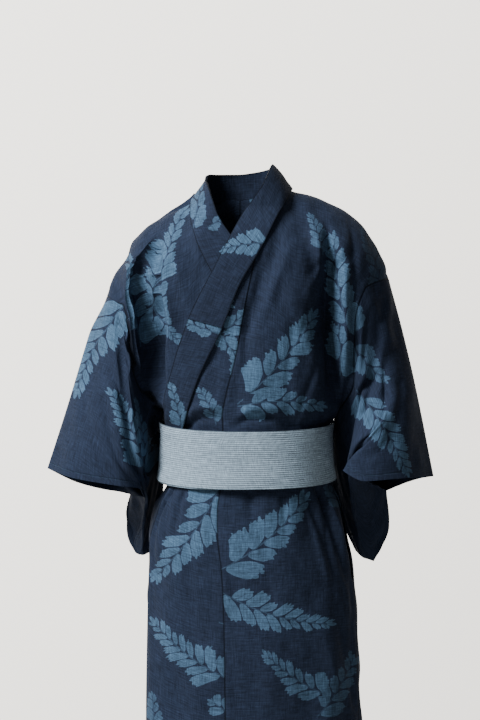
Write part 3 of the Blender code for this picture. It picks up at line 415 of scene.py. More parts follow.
BACK_CREASES = (
    # x, z in metres, then depth and width
    ((-0.050, -0.080, 0, 12), (-0.075, -0.170, 4, 12), (-0.085, -0.270, 4, 12), (-0.070, -0.360, 2, 9)),
    ((0.058, -0.060, 0, 12), (0.086, -0.150, 4, 13), (0.100, -0.250, 4, 12), (0.092, -0.350, 2, 9)),
    ((0.120, -0.040, 0, 9), (0.134, -0.100, -4, 10), (0.128, -0.170, -4, 10), (0.108, -0.230, 0, 9)),
    ((-0.100, -0.050, 0, 9), (-0.124, -0.110, -4, 10), (-0.122, -0.180, -3, 10), (-0.104, -0.250, 0, 9)),
    ((-0.030, -0.384, 0, 5), (-0.048, -0.366, 5, 5), (-0.070, -0.362, 4, 5), (-0.090, -0.376, 0, 5)),
    ((0.020, -0.382, 0, 5), (0.040, -0.360, 5, 5), (0.066, -0.358, 4, 6), (0.086, -0.374, 0, 5)),
    ((-0.010, -0.330, 0, 6), (-0.036, -0.318, 3, 7), (-0.060, -0.326, 0, 6)),
    ((0.010, -0.300, 0, 7), (0.034, -0.286, 3, 7), (0.058, -0.292, 0, 7)),
)
# Creases of the skirt: place on the girth (0 behind, 1 in front, 2 behind again, round by the
# left side), height in metres, depth and half width in mm
SKIRT_CREASES = (
    # girth, z, depth, width
    ((0.716, -0.486, 13, 5), (0.704, -0.510, 14, 6), (0.690, -0.545, 9, 7), (0.672, -0.600, 4, 8),
     (0.650, -0.660, 0, 9)),
    ((0.790, -0.490, 9, 6), (0.766, -0.520, 9, 8), (0.742, -0.570, 5, 10), (0.720, -0.640, 0, 12)),
    ((1.300, -0.486, 8, 4), (1.312, -0.520, 8, 4), (1.326, -0.565, 5, 5), (1.340, -0.640, 0, 6)),
    ((0.694, -0.496, 0, 7), (0.672, -0.530, -6, 8), (0.636, -0.582, -4, 8), (0.604, -0.640, 0, 8)),
    ((0.985, -0.492, 7, 5), (0.980, -0.512, 4, 5), (0.972, -0.545, 0, 6)),
    ((1.235, -0.500, 7, 6), (1.232, -0.535, 6, 6), (1.226, -0.580, 2, 7), (1.222, -0.620, 0, 7)),
    ((0.868, -0.500, 6, 6), (0.872, -0.530, 4, 6), (0.876, -0.570, 0, 7)),
    ((0.700, -0.500, 6, 8), (0.716, -0.560, 5, 9), (0.728, -0.640, 3, 10), (0.735, -0.760, 0, 10)),
    ((0.800, -0.495, 0, 6), (0.790, -0.540, 4, 7), (0.778, -0.600, 3, 9), (0.770, -0.680, 0, 9)),
    ((0.955, -0.500, 0, 6), (0.950, -0.560, 2, 8), (0.944, -0.660, 2, 9), (0.940, -0.780, 0, 9)),
    ((0.620, -0.620, 0, 10), (0.640, -0.760, 4, 12), (0.650, -0.960, 4, 14), (0.655, -1.200, 2, 14)),
    ((0.860, -0.760, 0, 12), (0.868, -0.920, 3, 14), (0.872, -1.120, 3, 14), (0.874, -1.320, 2, 14)),
    ((1.190, -0.520, 3, 7), (1.180, -0.600, 3, 8), (1.176, -0.720, 2, 9), (1.170, -0.860, 0, 9)),
    ((1.290, -0.500, 4, 6), (1.270, -0.560, 3, 8), (1.262, -0.660, 0, 9)),
    ((1.310, -0.800, 0, 11), (1.306, -1.000, 3, 13), (1.300, -1.240, 3, 13)),
    ((0.060, -0.500, 5, 8), (0.072, -0.600, 5, 10), (0.080, -0.760, 3, 12), (0.084, -0.960, 0, 12)),
    ((0.200, -0.500, 4, 8), (0.206, -0.620, 5, 11), (0.210, -0.820, 4, 13), (0.212, -1.100, 2, 13)),
    ((0.380, -0.500, 3, 7), (0.392, -0.580, 5, 10), (0.404, -0.720, 4, 12), (0.412, -0.940, 0, 12)),
    ((1.560, -0.500, 4, 8), (1.572, -0.600, 5, 10), (1.580, -0.780, 4, 12), (1.584, -1.060, 0, 12)),
    ((1.740, -0.500, 4, 8), (1.746, -0.620, 5, 11), (1.750, -0.860, 3, 13), (1.752, -1.180, 2, 13)),
    ((1.930, -0.500, 4, 7), (1.934, -0.600, 4, 10), (1.936, -0.780, 0, 12)),
)
GIRTH_SCALE = 0.47  # metres of cloth to a unit of girth
# Creases of the sleeves: stage along the sleeve, turn round it, then depth and half width in mm
SLEEVE_CREASES = {
    # side: stage, turn, depth, width
    1: (
        ((0.02, 0.30, 0, 6), (0.10, 0.22, -5, 9), (0.22, 0.16, -4, 10), (0.34, 0.14, 0, 9)),
        ((0.26, 0.20, 0, 7), (0.42, 0.26, 5, 8), (0.58, 0.36, 6, 9), (0.72, 0.46, 2, 8)),
        ((0.40, 0.12, 0, 9), (0.60, 0.18, 4, 11), (0.82, 0.26, 3, 12), (0.98, 0.32, 1, 12)),
        ((0.55, 0.50, 0, 7), (0.70, 0.54, 5, 8), (0.86, 0.56, 5, 8), (0.98, 0.57, 2, 8)),
        ((0.10, 0.62, 0, 9), (0.34, 0.72, 4, 11), (0.60, 0.80, 3, 12), (0.90, 0.84, 0, 12)),
        ((0.06, 1.80, 0, 8), (0.24, 1.74, 6, 10), (0.50, 1.62, 6, 12), (0.80, 1.56, 3, 12)),
        ((0.10, 1.46, 0, 9), (0.34, 1.38, 5, 11), (0.62, 1.34, 4, 12), (0.92, 1.30, 1, 11)),
        ((0.30, 1.88, 0, 8), (0.52, 1.84, 4, 10), (0.78, 1.80, 3, 10), (0.96, 1.80, 0, 10)),
    ),
    -1: (
        ((0.06, 0.22, 0, 7), (0.20, 0.30, 5, 8), (0.38, 0.38, 6, 9), (0.56, 0.46, 3, 9)),
        ((0.30, 0.18, 0, 9), (0.50, 0.26, 4, 10), (0.70, 0.36, 5, 10), (0.88, 0.46, 2, 9)),
        ((0.16, 0.08, 0, 8), (0.34, 0.10, 3, 10), (0.56, 0.14, 3, 11), (0.80, 0.16, 0, 11)),
        ((0.62, 0.50, 0, 7), (0.76, 0.54, 5, 8), (0.90, 0.56, 4, 8), (0.98, 0.57, 1, 7)),
        ((0.12, 0.64, 0, 9), (0.36, 0.74, 4, 11), (0.62, 0.80, 3, 12), (0.90, 0.86, 0, 12)),
        ((0.05, 1.82, 0, 8), (0.22, 1.76, 6, 10), (0.48, 1.66, 6, 12), (0.80, 1.60, 3, 12)),
        ((0.12, 1.48, 0, 9), (0.36, 1.40, 5, 11), (0.60, 1.36, 4, 12), (0.90, 1.32, 1, 11)),
        ((0.32, 1.90, 0, 8), (0.56, 1.86, 4, 10), (0.82, 1.84, 2, 10)),
    ),
}
SLEEVE_SCALE = 0.30  # metres of cloth to a stage or a turn

# The print: sprays of paired leaves. Those that the photograph shows are placed by pixels of
# its frame; the rest are scattered over the cloth that it doesn't show.
SPRAYS = (
    # pieces, base px, tip px, leaves a side, leaf reach and bend in mm, strength
    ("body_left overlap_left", (240, 402), (314, 316), 6, 36, 9, 0.95),
    ("body_left overlap_left", (240, 406), (322, 406), 6, 26, -8, 0.90),
    ("overlap_left", (244, 392), (232, 345), 3, 17, 2, 0.90),
    ("body_left", (323, 254), (310, 215), 5, 15, 3, 0.70),
    ("body_left sleeve_left", (350, 336), (334, 236), 5, 27, -6, 0.85),
    ("body_left sleeve_left", (340, 374), (338, 322), 2, 25, 2, 0.90),
    ("body_left", (385, 302), (363, 230), 6, 18, 4, 0.30),
    ("body_left", (334, 458), (349, 436), 3, 14, 2, 0.45),
    ("body_left", (220, 570), (305, 499), 6, 38, 12, 0.90),
    ("body_left", (221, 592), (330, 624), 9, 29, 13, 0.90),
    ("body_left", (330, 696), (266, 654), 7, 26, -8, 0.80),
    ("body_left", (318, 716), (354, 656), 5, 27, 6, 0.60),
    ("body_left", (344, 512), (322, 482), 4, 14, 3, 0.45),
    ("overlap_left", (216, 424), (200, 390), 4, 17, 3, 0.75),
    ("overlap_left", (222, 482), (155, 577), 7, 38, -10, 0.90),
    ("overlap_left", (230, 680), (154, 622), 9, 30, -10, 0.90),
    ("overlap_left", (231, 718), (212, 702), 2, 24, 2, 0.80),
    ("overlap_left", (153, 728), (152, 694), 3, 14, 2, 0.60),
    ("body_right", (146, 342), (183, 203), 9, 28, -13, 0.90),
    ("body_right sleeve_right", (145, 344), (121, 252), 5, 25, 5, 0.90),
    ("body_right", (146, 302), (180, 342), 5, 20, 4, 0.80),
    ("body_right overlap_right", (172, 428), (171, 384), 4, 15, 4, 0.85),
    ("overlap_right", (149, 560), (156, 500), 5, 18, 3, 0.60),
    ("sleeve_right", (124, 300), (76, 392), 8, 31, 8, 0.95),
    ("sleeve_right", (146, 476), (111, 392), 8, 27, 9, 0.90),
    ("sleeve_right body_right", (146, 470), (138, 400), 7, 14, 4, 0.60),
    ("sleeve_left", (349, 338), (384, 380), 4, 24, 4, 0.65),
    ("sleeve_left", (358, 392), (407, 472), 8, 27, -6, 0.85),
    ("collar overlap_right", (184, 430), (172, 384), 4, 14, 2, 0.85),
    ("collar overlap_left", (221, 335), (184, 322), 3, 15, 1, 0.95),
    ("overlap_left", (218, 336), (244, 314), 2, 19, 1, 0.95),
    ("overlap_left", (219, 330), (238, 358), 2, 18, 1, 0.95),
    ("collar_cover collar", (192, 226), (198, 176), 3, 15, 3, 0.75),
    ("collar_cover collar", (208, 226), (224, 214), 2, 10, 1, 0.70),
    ("collar_cover collar", (268, 244), (223, 250), 4, 19, 2, 0.95),
)
PHOTO_FACING = -0.12  # the placed sprays lie on cloth that faces the camera at least so much
BELOW_FRAME = 30  # pixels below the frame that the placed sprays still reach
FADED_SPRAY = 0.004  # metres round a spray's leaves that still belong to it
SPRAY_TAPER = (1.22, 0.75)  # how far that reaches at its base and tip, in leaves
SCATTER_STEP = 0.21  # metres between scattered sprays, along v
SCATTER_CLOSER = 0.62  # share of that step along u
SCATTER_MARGIN = (0.03, 0.02)  # metres from the cloth's lowest u and v to the first sprays
SCATTER_OVER = 0.02  # metres past its highest u where the last may start
SCATTER_SHIFT = 0.045
SCATTER_LENGTH = (0.13, 0.19)
SCATTER_LEAVES = (7, 10)  # a side
SCATTER_LEAF = (0.027, 0.034)
SCATTER_BEND = (-0.012, 0.012)
SCATTER_STRENGTH = (0.75, 0.95)
SCATTER_CLEAR = 0.06  # metres from a scattered spray's middle to the cloth that is shown
SCATTER_APART = 0.12  # metres between the middles of two scattered sprays

# Leaves
LEAF_SLANT = 1.15  # how far a leaf leans to the tip: metres along for a metre out
LEAF_CURL = 0.35  # how much it straightens out again, at its full length
LEAF_STAGGER = 0.21  # how far the two rows are shifted, in leaves
LEAF_BELLY = 0.54  # where along a leaf it is broadest
PRINT_BLUR = 0.0008

# Colours
NAVY = (0.0110, 0.0172, 0.0355, 1)
NAVY_PRINT = (0.053, 0.106, 0.178, 1)
COLLAR_NAVY = (0.0100, 0.0156, 0.0322, 1)
OBI_COLOUR = (0.188, 0.258, 0.332, 1)
COTTON_SHEEN = (0.45, 0.60, 0.90, 1)
OBI_SHEEN = (0.9, 0.95, 1, 1)
FLOOR_COLOUR = (0.52, 0.51, 0.49, 1)
BACKGROUND = (0.88, 0.85, 0.79, 1)

RIB = 0.0034  # from one rib of the obi's weave to the next
LIGHT_PLACE = (-1.95, -1.65, 1.55)
LIGHT_TARGET = (0, 0, -0.05)
LIGHT_SIZE = 1.1
LIGHT_POWER = 268
LIGHT_COLOUR = (1.0, 0.985, 0.965)


def smooth(low, high, value):
    """0 below low, 1 above high, and a soft step between."""
    t = np.clip((np.asarray(value, float) - low) / (high - low), 0, 1)
    return t * t * (3 - 2 * t)


def hermite(knots, values, slopes, at):
    """Values at the places given, on a curve with these slopes at its knots."""
    span = np.clip(np.searchsorted(knots, at, side="right") - 1, 0, len(knots) - 2)
    step = (knots[span + 1] - knots[span]).reshape(at.shape + (1,) * (values.ndim - 1))
    t = (at - knots[span]).reshape(step.shape) / step
    return (
        values[span] * (1 + 2 * t) * (1 - t) ** 2
        + slopes[span] * step * t * (1 - t) ** 2
        + values[span + 1] * t * t * (3 - 2 * t)
        - slopes[span + 1] * step * t * t * (1 - t)
    )


def spline(knots, values, at):
    """Values at the places given, on a smooth curve through the knots that doesn't overshoot."""
    knots, values = np.asarray(knots, float), np.asarray(values, float)
    slopes = np.diff(values, axis=0) / np.diff(knots).reshape((-1,) + (1,) * (values.ndim - 1))
    before, after = slopes[:-1], slopes[1:]
    same = before * after > 0
    mean = 2 * before * after / np.where(same, before + after, 1)
    slopes = np.concatenate([slopes[:1], np.where(same, mean, 0), slopes[-1:]])
    return hermite(knots, values, slopes, np.clip(np.asarray(at, float), knots[0], knots[-1]))


def cubic(knots, values, at):
    """Values on a rounder curve, with the slope between its neighbours at each knot."""
    return hermite(knots, values, np.gradient(values, knots, axis=0), at)


def lengths(points):
    """Distance along a line of points to each of them."""
    return np.concatenate([[0], np.cumsum(np.linalg.norm(np.diff(points, axis=0), axis=1))])


def along_line(points, parts):
    """Points along a smooth line through the points: at these shares of it, or in so many parts."""
    if np.isscalar(parts):
        parts = np.linspace(0, 1, parts + 1)
    knots = lengths(points)
    return spline(knots, points, parts * knots[-1])


def unit(vectors):
    """The same directions, one metre long."""
    return vectors / np.maximum(np.linalg.norm(vectors, axis=-1, keepdims=True), 1e-12)


def pair(first, second):
    """Two grids as two numbers for each point."""
    return np.stack([first.ravel(), second.ravel()], -1)


def to_sides(across):
    """Distance to the nearer side edge."""
    return np.minimum(across, across[:, -1:] - across)


def to_ends(down):
    """Distance to the nearer end."""
    return np.minimum(down, down[-1:] - down)


def falling(heights, values, z):
    """Values at the heights z, from a table whose heights fall."""
    return spline(-heights, values, -np.asarray(z, float))


def share_at(table, z):
    """Share of the girth at the heights z, from a table of heights and shares."""
    return falling(table[:, 0], table[:, 1], z)


def curve_x(table, z):
    """x on a seam given as x and z from the top down."""
    return falling(table[:, 1], table[:, 0], z)


def form_at(z):
    """Centre, half width, front, back and squareness of the body at the heights z."""
    return np.moveaxis(falling(FORM[:, 0], FORM[:, 1:], z), -1, 0)


def ridge_height(x):
    """Height of the shoulder line."""
    return spline(RIDGE[:, 0], RIDGE[:, 1], x)


def nearest_on_path(u, v, path):
    """Distance from each point to a path, and the path's depth and width at its nearest place."""
    nearest = np.full(u.shape, np.inf)
    depth, width = np.zeros(u.shape), np.ones(u.shape)
    for start, end in zip(path[:-1], path[1:]):
        run = end[:2] - start[:2]
        t = ((u - start[0]) * run[0] + (v - start[1]) * run[1]) / max(run @ run, 1e-12)
        t = np.clip(t, 0, 1)
        away = np.hypot(u - start[0] - t * run[0], v - start[1] - t * run[1])
        closer = away < nearest
        nearest = np.where(closer, away, nearest)
        depth = np.where(closer, start[2] + t * (end[2] - start[2]), depth)
        width = np.where(closer, start[3] + t * (end[3] - start[3]), width)
    return nearest, depth, width


def trough_depth(x, z, paths):
    """How far the troughs draw the cloth in at each point: the deepest of them counts."""
    deepest = np.zeros(x.shape)
    for path in paths:
        away, depth, width = nearest_on_path(x, z, path)
        deepest = np.maximum(deepest, depth * np.exp(-((away / width) ** 2)))
    return deepest


def body_y(x, z, face):
    """Depth of the upper body at x, z, in front (face -1) or behind (face 1)."""
    centre, half, front, back, square = form_at(z)
    reach = front if face < 0 else back
    widest = 1 - SHOULDER_DEPTH * smooth(ARMHOLE_Z, SHOULDER_Z, z)
    share = np.clip(np.abs(x - centre) / half, 0, widest)
    full = reach * (1 - share**square) ** (1 / square)
    drop = np.clip((ridge_height(x) - z) / ARCH, 0, 1)
    swing = np.sqrt(drop * (2 - drop))
    trough = trough_depth(x, z, TROUGHS[face]) * smooth(ARMHOLE_Z, ARMHOLE_Z + TROUGH_START, z)
    return RIDGE_Y + (face * full - RIDGE_Y) * swing - face * trough * swing


def fold_depth(z, girth):
    """How far the skirt's folds draw the cloth in, at a girth from 0 to 2."""
    depth = np.zeros(np.shape(girth))
    for place, deep, width, top in SKIRT_FOLDS:
        grown = smooth(-top, -top + FOLD_GROWTH, -z)
        away = (girth - place + 1) % 2 - 1
        depth = depth + deep * grown * np.exp(-((away / width) ** 2))
    return depth


def ring(z, side, share):
    """Outline of the body at height z. share is 0 behind, 0.5 at that side, 1 in front, and
    1.5 at the far side."""
    centre, half, front, back, square = form_at(z)
    turn = np.linspace(0, math.pi / 2, RING_SAMPLES)
    across = half * np.sin(turn) ** (2 / square)
    share = np.asarray(share, float)
    quarters = []
    for reach, sign in ((back, 1), (front, -1)):
        along = sign * reach * np.cos(turn) ** (2 / square)
        length = lengths(np.stack([across, along], -1))
        part = np.where(share < 0.5, share, np.abs(1 - share)) * 2 * length[-1]
        quarters.append((np.interp(part, length, across), np.interp(part, length, along)))
    x, y = np.where(share < 0.5, *quarters)
    x = x * np.where(share > 1, -side, side)
    girth = share if side > 0 else 2 - share
    shrink = 1 - fold_depth(z, girth) / np.hypot(x, y)
    return np.stack([centre + x * shrink, y * shrink, np.full(x.shape, float(z))], -1)


def row_height(row, x):
    """Height of an upper row at x."""
    top = ridge_height(x)
    if row <= ARCH_ROWS:
        return top - ARCH * (1 - math.cos(math.pi / 2 * row / ARCH_ROWS))
    t = (row - ARCH_ROWS) / CHEST_ROWS
    return (top - ARCH) * (1 - t) + ARMHOLE_Z * t


def crossing(row, seam, side, span):
    """x at which an upper row crosses a seam, on the way outwards over a span of x."""
    near, far = side * span[0], side * span[1]
    x = np.linspace(near, far, SEAM_SAMPLES)
    beyond = side * (x - curve_x(seam, row_height(row, x)))
    first = int(np.argmax(beyond >= 0))
    if beyond[first] < 0:
        return far
    if first == 0:
        return near
    t = -beyond[first - 1] / (beyond[first] - beyond[first - 1])
    return x[first - 1] + t * (x[first] - x[first - 1])


def upper_row(row, face, start, end, columns):
    """Points of an upper row from x start to x end, spaced along the cloth by the columns."""
    x = np.linspace(start, end, ROW_SAMPLES)
    z = row_height(row, x)
    length = lengths(np.stack([x, body_y(x, z, face), z], -1))
    places = np.interp(np.asarray(columns) * length[-1], length, x)
    places[0], places[-1] = start, end
    z = row_height(row, places)
    return np.stack([places, body_y(places, z, face), z], -1)


def pocket_open(z):
    """1 in the middle of the pocket mouth, 0 at its ends."""
    return np.clip(1 - (2 * (z - POCKET_TOP) / (POCKET_END - POCKET_TOP) - 1) ** 2, 0, 1) ** 0.5


def side_share(z, side, face):
    """Share of the girth at which a panel meets the side seam."""
    share = share_at(SIDE_GIRTH, z)
    if side > 0:
        share = share - face * POCKET_HALF_MOUTH * pocket_open(z)
    return share


def collar_x(row, side):
    """x of the collar's seam on an upper row."""
    return crossing(row, COLLAR_SEAMS[side], side, COLLAR_SPAN)


def overlap_x(row, side):
    """x of the seam between the front and the overlap panel."""
    return crossing(row, OVERLAP_SEAMS[side], side, OVERLAP_SPAN)


def sleeve_x(row, side, face):
    """x of the sleeve's seam on an upper row."""
    if row == ARMHOLE_ROW:
        centre, half = form_at(ARMHOLE_Z)[:2]
        return float(centre + side * half)
    seam = SLEEVE_SEAMS[side, face]
    if row == 0:
        return seam[0][0]
    return crossing(row, seam, side, (SLEEVE_SPAN_START, side * seam[0][0]))


def join_rows(upper, lower):
    """Rows from the shoulder line to the hem, with a few between the two kinds."""
    steps = np.arange(1, JOIN_ROWS) / JOIN_ROWS
    between = [upper[-1] + (lower[0] - upper[-1]) * step for step in steps]
    return np.array([*upper, *between, *lower])


def front_panel(side):
    """The front, from its seam with the collar or the overlap panel to the sleeve and the side."""
    upper = []
    for row in UPPER:
        start = side * max(side * collar_x(row, side) - TUCK, side * overlap_x(row, side))
        upper.append(upper_row(row, -1, start, sleeve_x(row, side, -1), ACROSS))
    lower = []
    for z in LOWER:
        inner, outer = share_at(OVERLAP_GIRTH, z), side_share(z, side, -1)
        lower.append(ring(z, side, inner + (outer - inner) * ACROSS))
    return join_rows(upper, lower)


def back_panel(side):
    """The back, from its middle to the sleeve and the side."""
    raised = NECK_SEAMS[side] + (0, TUCK)
    shoulder = side * collar_x(0, side) - TUCK
    upper = []
    for row in UPPER:
        start = side * min(side * crossing(row, raised, side, NECK_SPAN), shoulder)
        upper.append(upper_row(row, 1, start, sleeve_x(row, side, 1), ACROSS))
    lower = [ring(z, side, side_share(z, side, 1) * ACROSS) for z in LOWER]
    return join_rows(upper, lower)


def share_of_x(z, side, x):
    """Share of the girth at which the front of the body has this x."""
    shares = np.linspace(0.5, 1.5, GIRTH_SAMPLES)
    reached = side * ring(z, side, shares)[:, 0]
    return float(np.interp(-side * x, -reached, shares))


def overlap_panel(side):
    """The overlap panel, from its seam with the front to the collar and the free edge."""
    upper = []
    for row in UPPER:
        start = overlap_x(row, side)
        end = collar_x(row, side) - side * TUCK
        if side * (start - end) > SMALLEST_OVERLAP:
            upper.append(upper_row(row, -1, start, end, OVERLAP_ACROSS))
    lower = []
    for z in LOWER:
        start, end = share_at(OVERLAP_GIRTH, z), share_at(FREE_EDGE[side], z)
        if z > FREE_EDGE[side][0, 0]:
            end = share_of_x(z, side, curve_x(COLLAR_SEAMS[side], z) - side * TUCK)
        lower.append(ring(z, side, start + (end - start) * OVERLAP_ACROSS))
    return join_rows(upper, lower)


def round_points(stage, turns):
    """Points at the turns given on a closed loop through the stage's points."""
    knots = np.array([-0.4, -0.2, *SLEEVE_TURNS, 2.0, 2.2])
    return cubic(knots, np.vstack([stage[-2:], stage, stage[:2]]), turns)


def there_and_back(front, edge, back):
    """A loop down the front, round the sewn-up edge on both faces, and up the back."""
    return np.vstack([front, edge[1:], edge[-2:0:-1], back[:0:-1]])


def sleeve_tube(side, front, back):
    """Points of a sleeve, rows from the armhole to the cuff, columns round the tube."""
    sleeve = SLEEVES[side]
    shares = UPPER / ARMHOLE_ROW
    turns = np.concatenate([shares * OPEN_TURN, np.linspace(OPEN_TURN, 1, EDGE_COLUMNS + 1)[1:]])
    turns = np.concatenate([turns, 2 - turns[-2:0:-1]])
    armhole = there_and_back(front, along_line(sleeve["inner_edge"], EDGE_COLUMNS), back)
    cuff = sleeve["cuff"]
    opening = there_and_back(
        along_line(cuff[:5], shares),
        along_line(sleeve["outer_edge"], EDGE_COLUMNS),
        along_line(cuff[[0, 6, 5, 4]], shares),
    )
    upper, lower = round_points(sleeve["upper"], turns), round_points(sleeve["lower"], turns)
    stages = np.linspace(0, 1, SLEEVE_ROWS + 1)
    return cubic(SLEEVE_STAGES, np.array([armhole, upper, lower, opening]), stages), turns, stages


class Sheet:
    """A grid of points with normals, and how far its two faces lie out from them."""

    def __init__(self, points, loop=False, welds=(), inside=None):
        self.rows, self.columns = points.shape[:2]
        self.points = points.reshape(-1, 3).astype(float)
        self.outer = np.zeros(len(self.points))
        self.wall = COTTON
        self.inside = inside
        same = np.arange(len(self.points))
        for kept, dropped in welds:
            same[dropped] = kept
        row, column = np.mgrid[0 : self.rows - 1, 0 : self.columns - (0 if loop else 1)]
        row, column = row.ravel(), column.ravel()
        after = (column + 1) % self.columns
        base, below = row * self.columns, (row + 1) * self.columns
        self.grid_quads = np.stack([base + column, base + after, below + after, below + column], -1)
        self.quads = same[self.grid_quads]
        self.find_normals()

    def find_normals(self):
        """Normals that point away from the inside, which is the robe's middle line if not given."""
        corners = self.points[self.quads]
        facing = np.cross(corners[:, 2] - corners[:, 0], corners[:, 3] - corners[:, 1])
        inside = self.inside
        if inside is None:
            inside = corners.mean(axis=1)
            inside[:, :2] = MIDDLE_X, 0
        if (facing * (corners.mean(axis=1) - inside)).sum() < 0:
            self.quads = self.quads[:, ::-1]
            self.grid_quads = self.grid_quads[:, ::-1]
            facing = -facing
        self.normals = unit(self.gathered(np.repeat(facing[:, None], 4, 1)))

    def gathered(self, values):
        """Sum at each point of what its quads' corners give it."""
        total = np.zeros_like(self.points)
        for corner in range(4):
            np.add.at(total, self.quads[:, corner], values[:, corner])
        return total

    def grid(self, values):
        """Values of the points, as rows and columns."""
        return values.reshape(self.rows, self.columns, *values.shape[1:])

    def crease(self, depth, outward=None):
        """Draw the cloth in by depth at each point, against its normal or another direction."""
        outward = self.normals if outward is None else outward
        self.points = self.points - outward * depth.reshape(-1, 1)
        self.find_normals()

    def measure(self):
        """Cloth coordinates in metres: distance across and down."""
        points = self.grid(self.points)
        down = np.linalg.norm(np.diff(points, axis=0, prepend=points[:1]), axis=2)
        across = np.linalg.norm(np.diff(points, axis=1, prepend=points[:, :1]), axis=2)
        return np.cumsum(across, axis=1), np.cumsum(down, axis=0)

    def level(self):
        """Turn the normals level, so that the wall stands upright."""
        self.normals = unit(self.normals * (1, 1, 0))

    def rim(self):
        """Edges with one quad, as pairs of points."""
        starts = self.quads.ravel()
        ends = np.roll(self.quads, -1, axis=1).ravel()
        big = len(self.points) + 1
        alone = ~np.isin(starts * big + ends, ends * big + starts) & (starts != ends)
        return starts[alone], ends[alone]


def close_seams(sheets):
    """Rims that share seam points get one normal there, and meet at the seam's own gap."""
    found = {}
    inward = []
    for number, sheet in enumerate(sheets):
        corners = sheet.points[sheet.quads]
        inward.append(unit(sheet.gathered(corners.mean(axis=1, keepdims=True) - corners)))
        for index in np.unique(sheet.rim()):
            key = tuple(np.round(sheet.points[index], 5))
            found.setdefault(key, []).append((number, index))
    for places in found.values():
        if len(places) < 2:
            continue
        normal = unit(sum(sheets[number].normals[index] for number, index in places))
        for number, index in places:
            sheet = sheets[number]
            sheet.normals[index] = normal
            sheet.points[index] += inward[number][index] * SEAM_GAP
            sheet.outer[index] -= SEAM_DIP


def collar_sheet():
    """The collar band, from its left end over the neck to its right end, seam edge first. Also
    how far each row lies in or out, and its place among the stations."""
    across = np.linspace(0, 1, COLLAR_COLUMNS)[None, :, None]
    stations = np.arange(len(COLLAR_SEAMS[1]))
    places = np.linspace(0, stations[-1], STATION_ROWS * stations[-1] + 1)
    fronts = {}
    for side in (1, -1):
        seam = spline(stations, COLLAR_SEAMS[side], places)[:, None]
        edge = spline(stations, COLLAR_EDGES[side], places)[:, None]
        x, z = np.moveaxis(seam + (edge - seam) * across, -1, 0)
        fronts[side] = np.stack([x, body_y(x, z, -1), z], -1)
    halves = [along_line(NECK_SEAMS[side], NECK_ROWS // 2) for side in (1, -1)]
    x, z = np.vstack([halves[0], halves[1][-2::-1]]).T
    seam = np.stack([x, body_y(x, z, 1), z], -1)
    neck = seam[:, None] + (along_line(NECK_EDGE, NECK_ROWS) - seam)[:, None] * across
    band = np.concatenate([fronts[1][::-1], neck[1:-1], fronts[-1]])
    under = np.concatenate([
        np.zeros(len(places)),
        -UNDER * smooth(0, UNDER_BLEND, FORM[0, 1] - x[1:-1]),
        np.full(len(places), -UNDER),
    ])
    return band, under, np.concatenate([places[::-1], np.zeros(len(neck) - 2), places])


def pixel(points):
    """Where points fall in the photograph's frame."""
    reach = points[..., 1] - CAMERA_Y
    px = FRAME_W / 2 + points[..., 0] * FOCAL / reach
    py = FRAME_H / 2 - (points[..., 2] - CAMERA_Z) * FOCAL / reach
    return px, py


def crease_depth(u, v, paths, scale=(1.0, 1.0)):
    """Sum of the creases at each point. scale is what makes metres of the table's two places."""
    u, v = u * scale[0], v * scale[1]
    total = np.zeros(u.shape)
    for path in paths:
        knots = np.arange(len(path))
        fine = np.linspace(0, knots[-1], CREASE_STEPS * knots[-1] + 1)
        path = spline(knots, np.asarray(path, float) * (*scale, 0.001, 0.001), fine)
        reach = CREASE_REACH * path[:, 3].max()
        low, high = path[:, :2].min(axis=0) - reach, path[:, :2].max(axis=0) + reach
        near = (u > low[0]) & (u < high[0]) & (v > low[1]) & (v < high[1])
        away, depth, width = nearest_on_path(u[near], v[near], path)
        total[near] += depth * np.exp(-((away / width) ** CREASE_EDGE))
    return total


def pixel_crease_depth(points, creases):
    """Creases placed by pixels, in the frame's own plane."""
    return crease_depth(*pixel(points), creases, (PHOTO_SCALE, PHOTO_SCALE))


def girth_of(points):
    """Place on the girth, by angle about the middle of the form: 0 behind, 1 in front."""
    centre, half, front, back, _ = form_at(points[..., 2])
    across = (points[..., 0] - centre) / half
    along = points[..., 1] / np.where(points[..., 1] < 0, front, back)
    return np.arctan2(across, along) / math.pi % 2


def outward(points):
    """The level direction out of the body at each point."""
    centre, half, front, back, _ = form_at(points[:, 2])
    reach = np.where(points[:, 1] < 0, front, back)
    across, along = (points[:, 0] - centre) / half**2, points[:, 1] / reach**2
    return unit(np.stack([across, along, np.zeros(len(points))], -1))


def body_creases(points, face, to_side):
    """Creases of a front or a back, from the shoulder line to the hem. to_side says that the
    last column is a side seam, where front and back have to agree."""
    x, z = points[..., 0], points[..., 2]
    if face < 0:
        depth = pixel_crease_depth(points, FRONT_CREASES)
    else:
        depth = crease_depth(x, z, BACK_CREASES)
    depth = depth * smooth(*WAIST_FADE, z) * smooth(0, SHOULDER_FADE, ridge_height(x) - z)
    if to_side:
        fade, low, high = SIDE_FADE
        inside = smooth(0, fade, np.linalg.norm(points - points[:, -1:], axis=2))
        depth = depth * np.maximum(inside, smooth(low, high, z))
    skirt = crease_depth(girth_of(points), z, SKIRT_CREASES, (GIRTH_SCALE, 1))
    return depth + skirt * smooth(*SKIRT_FADE, z)


def unevenness(u, v, seed):
    """Small waves over the whole cloth, each bent by a longer one across it."""
    rng = np.random.default_rng(seed)
    total = np.zeros(u.shape)
    for length, height in WAVES:
        for _ in range(WAVES_A_LENGTH):
            lean = rng.uniform(0, math.pi)
            phase = rng.uniform(0, 2 * math.pi)
            along = u * math.cos(lean) + v * math.sin(lean)
            across = u * math.sin(lean) - v * math.cos(lean)
            bend = 0.7 * np.sin(2 * math.pi * across / (length * 2.3) + phase)
            total += height * np.sin(2 * math.pi * along / length + phase + bend)
    return total


